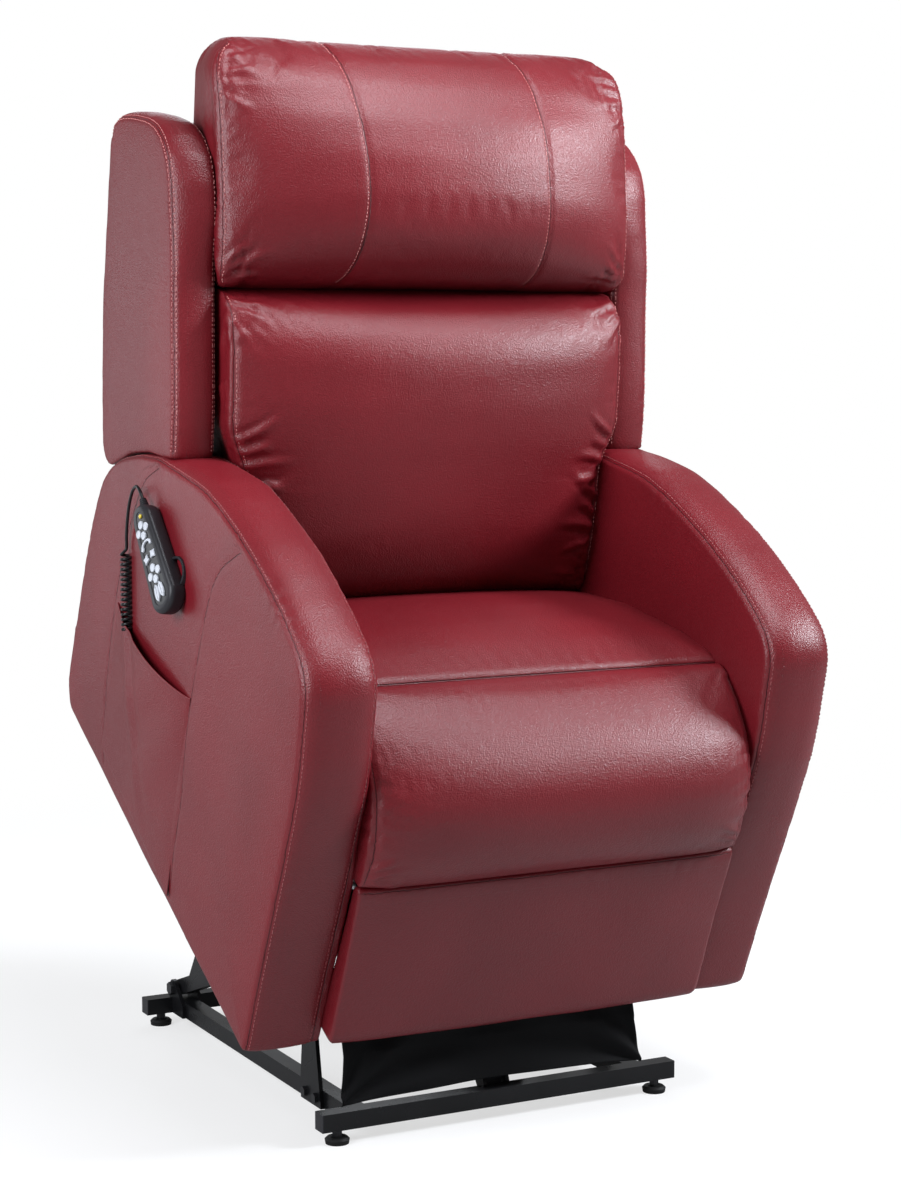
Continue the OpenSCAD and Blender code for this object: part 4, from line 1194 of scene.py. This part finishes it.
# caps of one shape, set at each of these places
def setCaps(shape, places):
    keyTop(shape)
    finishShape()
    for node, (u, w, turn) in places.items():
        obj = bpy.data.objects.new(node, shape.data.copy())
        bpy.context.scene.collection.objects.link(obj)
        setKey(obj, node, u, w, turn)
    bpy.data.objects.remove(shape)


def arcEnd(face):
    sideways = abs(face.normal.z) < 0.1 and abs(face.normal.x) > 0.9
    return sideways and face.calc_center_median().y < -0.006 and face.calc_area() > 0.000015


# bent key whose one end is drawn out to a point
def makeArcKey():
    arc = begin("arc", mesh.primitive_plane_add, size=0.0040, location=(0, -0.0095, 0.0315),
                rotation=(0, math.pi / 2, 0))
    mesh.select_all(action="SELECT")
    stretch(1, 1, 1.25)
    mesh.spin(steps=18, angle=math.radians(205), center=(0, 0, 0.0315), axis=(0, 0, 1))
    mesh.select_all(action="SELECT")
    stretch(0.72, 1.12, 1)
    mesh.normals_make_consistent(inside=False)
    choose(arc, "faces", arcEnd)
    pull(0)
    stretch(1, 1.9, 1)
    pull(0.0042)
    stretch(1, 0.25, 1)
    roundEdges(arc, lambda e: all(v.co.z > 0.0335 for v in e.verts) and e.calc_face_angle(0) > 1.0, 0.0005, 2)
    finishShape()
    setKey(arc, "key_b1", 0.0185, 0.0, 180)


def makeKeys():
    petal = begin("petal", mesh.primitive_cylinder_add, vertices=24, radius=0.0060, **keySolid)
    choose(petal, "verts", lambda v: True)
    stretch(1.04, 0.94, 1)
    setCaps(petal, petalPlaces)
    makeArcKey()
    star = begin("star", mesh.primitive_cylinder_add, vertices=12, radius=0.0078, **keySolid)
    choose(star, "verts", lambda v: round(math.degrees(math.atan2(v.co.y, v.co.x)) / 30) % 3 != 0)
    stretch(0.62, 0.62, 1)
    setCaps(star, starPlaces)
    leaf = begin("leaf", mesh.primitive_cylinder_add, vertices=28, radius=0.0052, **keySolid)
    choose(leaf, "verts", lambda v: True)
    stretch(2.55, 1.0, 1)
    choose(leaf, "verts", lambda v: abs(v.co.x) > 0.0085)
    stretch(1, 0.62, 1)
    setCaps(leaf, leafPlaces)


housing, hook, relief, handLamp = makeHousing(), makeHook(), makeRelief(), makeHandLamp()
placeHand(housing, "chair", "black_plastic", "handset_body")
for piece in (hook, relief, handLamp):
    placeHand(piece, "chair", "black_plastic")
makeKeys()
print("hand control made")


# black cloth between the footrest and the base: tied at the tube's ends and drawn up behind the footrest
guardSetup = {"left": -0.256, "rightTop": 0.212, "rightLow": 0.226, "low": 0.053, "high": 0.184, "sag": 0.011,
              "fold": 0.0060, "run": 0.47, "drop": 0.131, "front": -0.0262, "rear": -0.0056,
              "across": 110, "up": 44}


# folds that fan out from one end of the guard, at u from that end and t up it
def fanned(u, t, count, phase, middle, reach):
    run, drop = guardSetup["run"], guardSetup["drop"]
    fan = math.atan2(t * drop + 0.004, u * run + 0.01)
    return math.sin(fan * count + phase) * math.exp(-((math.hypot(u * run, t * drop) - middle) / reach) ** 2)


def makeGuard():
    g = guardSetup

    def place(i, j):
        s, t = i / g["across"], j / g["up"]
        right = g["rightLow"] + (g["rightTop"] - g["rightLow"]) * min(1, t * 2)
        sag = g["sag"] * math.sin(math.pi * s) ** 0.5
        z = g["low"] + sag * (1 - t) ** 2 + (g["high"] - g["low"]) * t
        fold = fanned(s, t, 9.5, 0.6, 0.12, 0.13) + fanned(1 - s, t, 8, 2.0, 0.08, 0.09)
        flat = share(t, 0.55, 0.85)
        y = -0.0135 + 0.0078 * flat - g["fold"] * fold * (1 - 0.9 * flat)
        y += 0.0016 * math.sin(s * 17 + t * 5) * (1 - flat)
        return g["left"] + (right - g["left"]) * s, min(g["rear"], max(g["front"], y)), z

    obj = gridMesh("guard_cloth", g["across"], g["up"], place)
    applyModifier(obj, "SOLIDIFY", thickness=0.0009, offset=0.0, use_rim=True)
    wear(obj, blackKnit)
    intoSpace(obj, baseSpace)
    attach(obj, "base")
    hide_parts("fabric_guard")
    # as the chair is lowered, the lift frame comes down to 2.6 mm above the front tube
    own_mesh(obj)


makeGuard()
print("pocket and guard made")


# carried-over pieces get their finishes
finishes = [(steelPaint, ["front_cross_tube", "rear_cross_tube", "side_rails", "front_uprights",
                          "rear_pivot_brackets", "rear_lift_arms", "torque_tube", "front_links",
                          "lift_frame"]),
            (satinSteel, ["mechanism_plates", "mechanism_tubes", "drive_links", "idler_links", "board_links",
                          "steer_links", "footrest_plate", "back_frame"]),
            (plasticBlack, ["tube_end_caps", "lift_motor", "handset_body", "control_box", "footrest_motor",
                            "recline_motor"]),
            (zincFinish, ["lift_rod", "seat_springs", "footrest_rod", "recline_rod"]),
            (darkZinc, ["foot_studs", "base_pivot_bolts", "chair_pivot_pins"]),
            (rubberBlack, ["glide_feet"]), (blackKnit, ["fabric_guard"]), (plywood, ["seat_box"])]
finishOf = {node: finish for finish, nodes in finishes for node in nodes}
for node, obj in frame["nodes"].items():
    if node in finishOf:
        wear(obj, finishOf[node])
    elif node.startswith("key_"):
        wear(obj, keyWhite)
print("finishes given")


# floor, world and lamps
stageSetup = {"half": 30, "ground": 0.80, "near": 1.10, "lit": 0.58, "fadeFrom": 1.3, "fadeTo": 2.6,
              "bounce": 0.39, "mirrored": 0.10, "diffuseWorld": 0.25, "glossyWorld": 0.24}
white = (1, 1, 1, 1)


# floor that is seen pale, fading to white away from the chair, and that lights the chair less than it shows
def makeFloor():
    r = stageSetup["half"]
    floor = newMesh("floor", [(-r, -r, 0), (r, -r, 0), (r, r, 0), (-r, r, 0)], [(0, 1, 2, 3)], False)
    f = newFinish("pale_floor")
    light = f.node("LightPath")
    shown = f.out(light, "Is Camera Ray")
    mirror = f.out(light, "Is Glossy Ray")
    through = f.out(light, "Is Transmission Ray")
    away = f.out(f.node("VectorMath", {"operation": "LENGTH"}, i0=f.place()), "Value")
    far = f.ramp(away, stageSetup["fadeFrom"], stageSetup["fadeTo"])
    ground = f.node("BsdfDiffuse", Color=(stageSetup["ground"],) * 3 + (1,))
    near = f.node("Emission", Color=white, Strength=stageSetup["near"])
    glow = f.node("Emission", Color=white, Strength=1.0)
    bounce = f.node("BsdfDiffuse", Color=(stageSetup["bounce"],) * 3 + (1,))
    seen = f.mixShader(far, f.mixShader(stageSetup["lit"], ground, near), glow)
    f.output("OutputMaterial", f.mixShader(shown + mirror * stageSetup["mirrored"] + through, bounce, seen))
    floor.data.materials.append(f.owner)


def makeWorld():
    bpy.context.scene.world = bpy.data.worlds.new("studio")
    w = Nodes(bpy.context.scene.world)
    path = w.node("LightPath")
    strengths = (stageSetup["diffuseWorld"], stageSetup["glossyWorld"], 1.0)
    diffuse, glossy, plain = [w.node("Background", Color=white, Strength=s) for s in strengths]
    reflected = w.mixShader(w.out(path, "Is Glossy Ray"), diffuse, glossy)
    direct = w.out(path, "Is Camera Ray") + w.out(path, "Is Transmission Ray")
    w.output("OutputWorld", w.mixShader(direct, reflected, plain))


def lamp(name, place, aim, width, height, power):
    data = bpy.data.lights.new(name, "AREA")
    data.shape = "ELLIPSE"
    data.size, data.size_y = width, height
    data.energy = power
    data.color = (0.90, 0.94, 1.0)
    obj = bpy.data.objects.new(name, data)
    bpy.context.scene.collection.objects.link(obj)
    obj.location = place
    obj.rotation_euler = (Vector(aim) - Vector(place)).to_track_quat("-Z", "Y").to_euler()


makeFloor()
makeWorld()
lamp("key", (3.0, -1.8, 2.7), (0, -0.1, 0.75), 1.1, 1.3, 188)
lamp("top", (0.3, -1.0, 3.2), (0, -0.1, 0.7), 1.7, 1.3, 65)
lamp("left_wall", (-3.0, -0.7, 1.85), (-0.2, 0.1, 0.8), 1.6, 2.2, 100)
lamp("left_rear", (-1.9, 2.5, 1.1), (-0.35, 0.1, 0.8), 1.5, 2.0, 14)
lamp("back_rim", (1.2, 2.6, 2.2), (0, 0, 0.9), 1.6, 1.6, 16)
print("studio set")
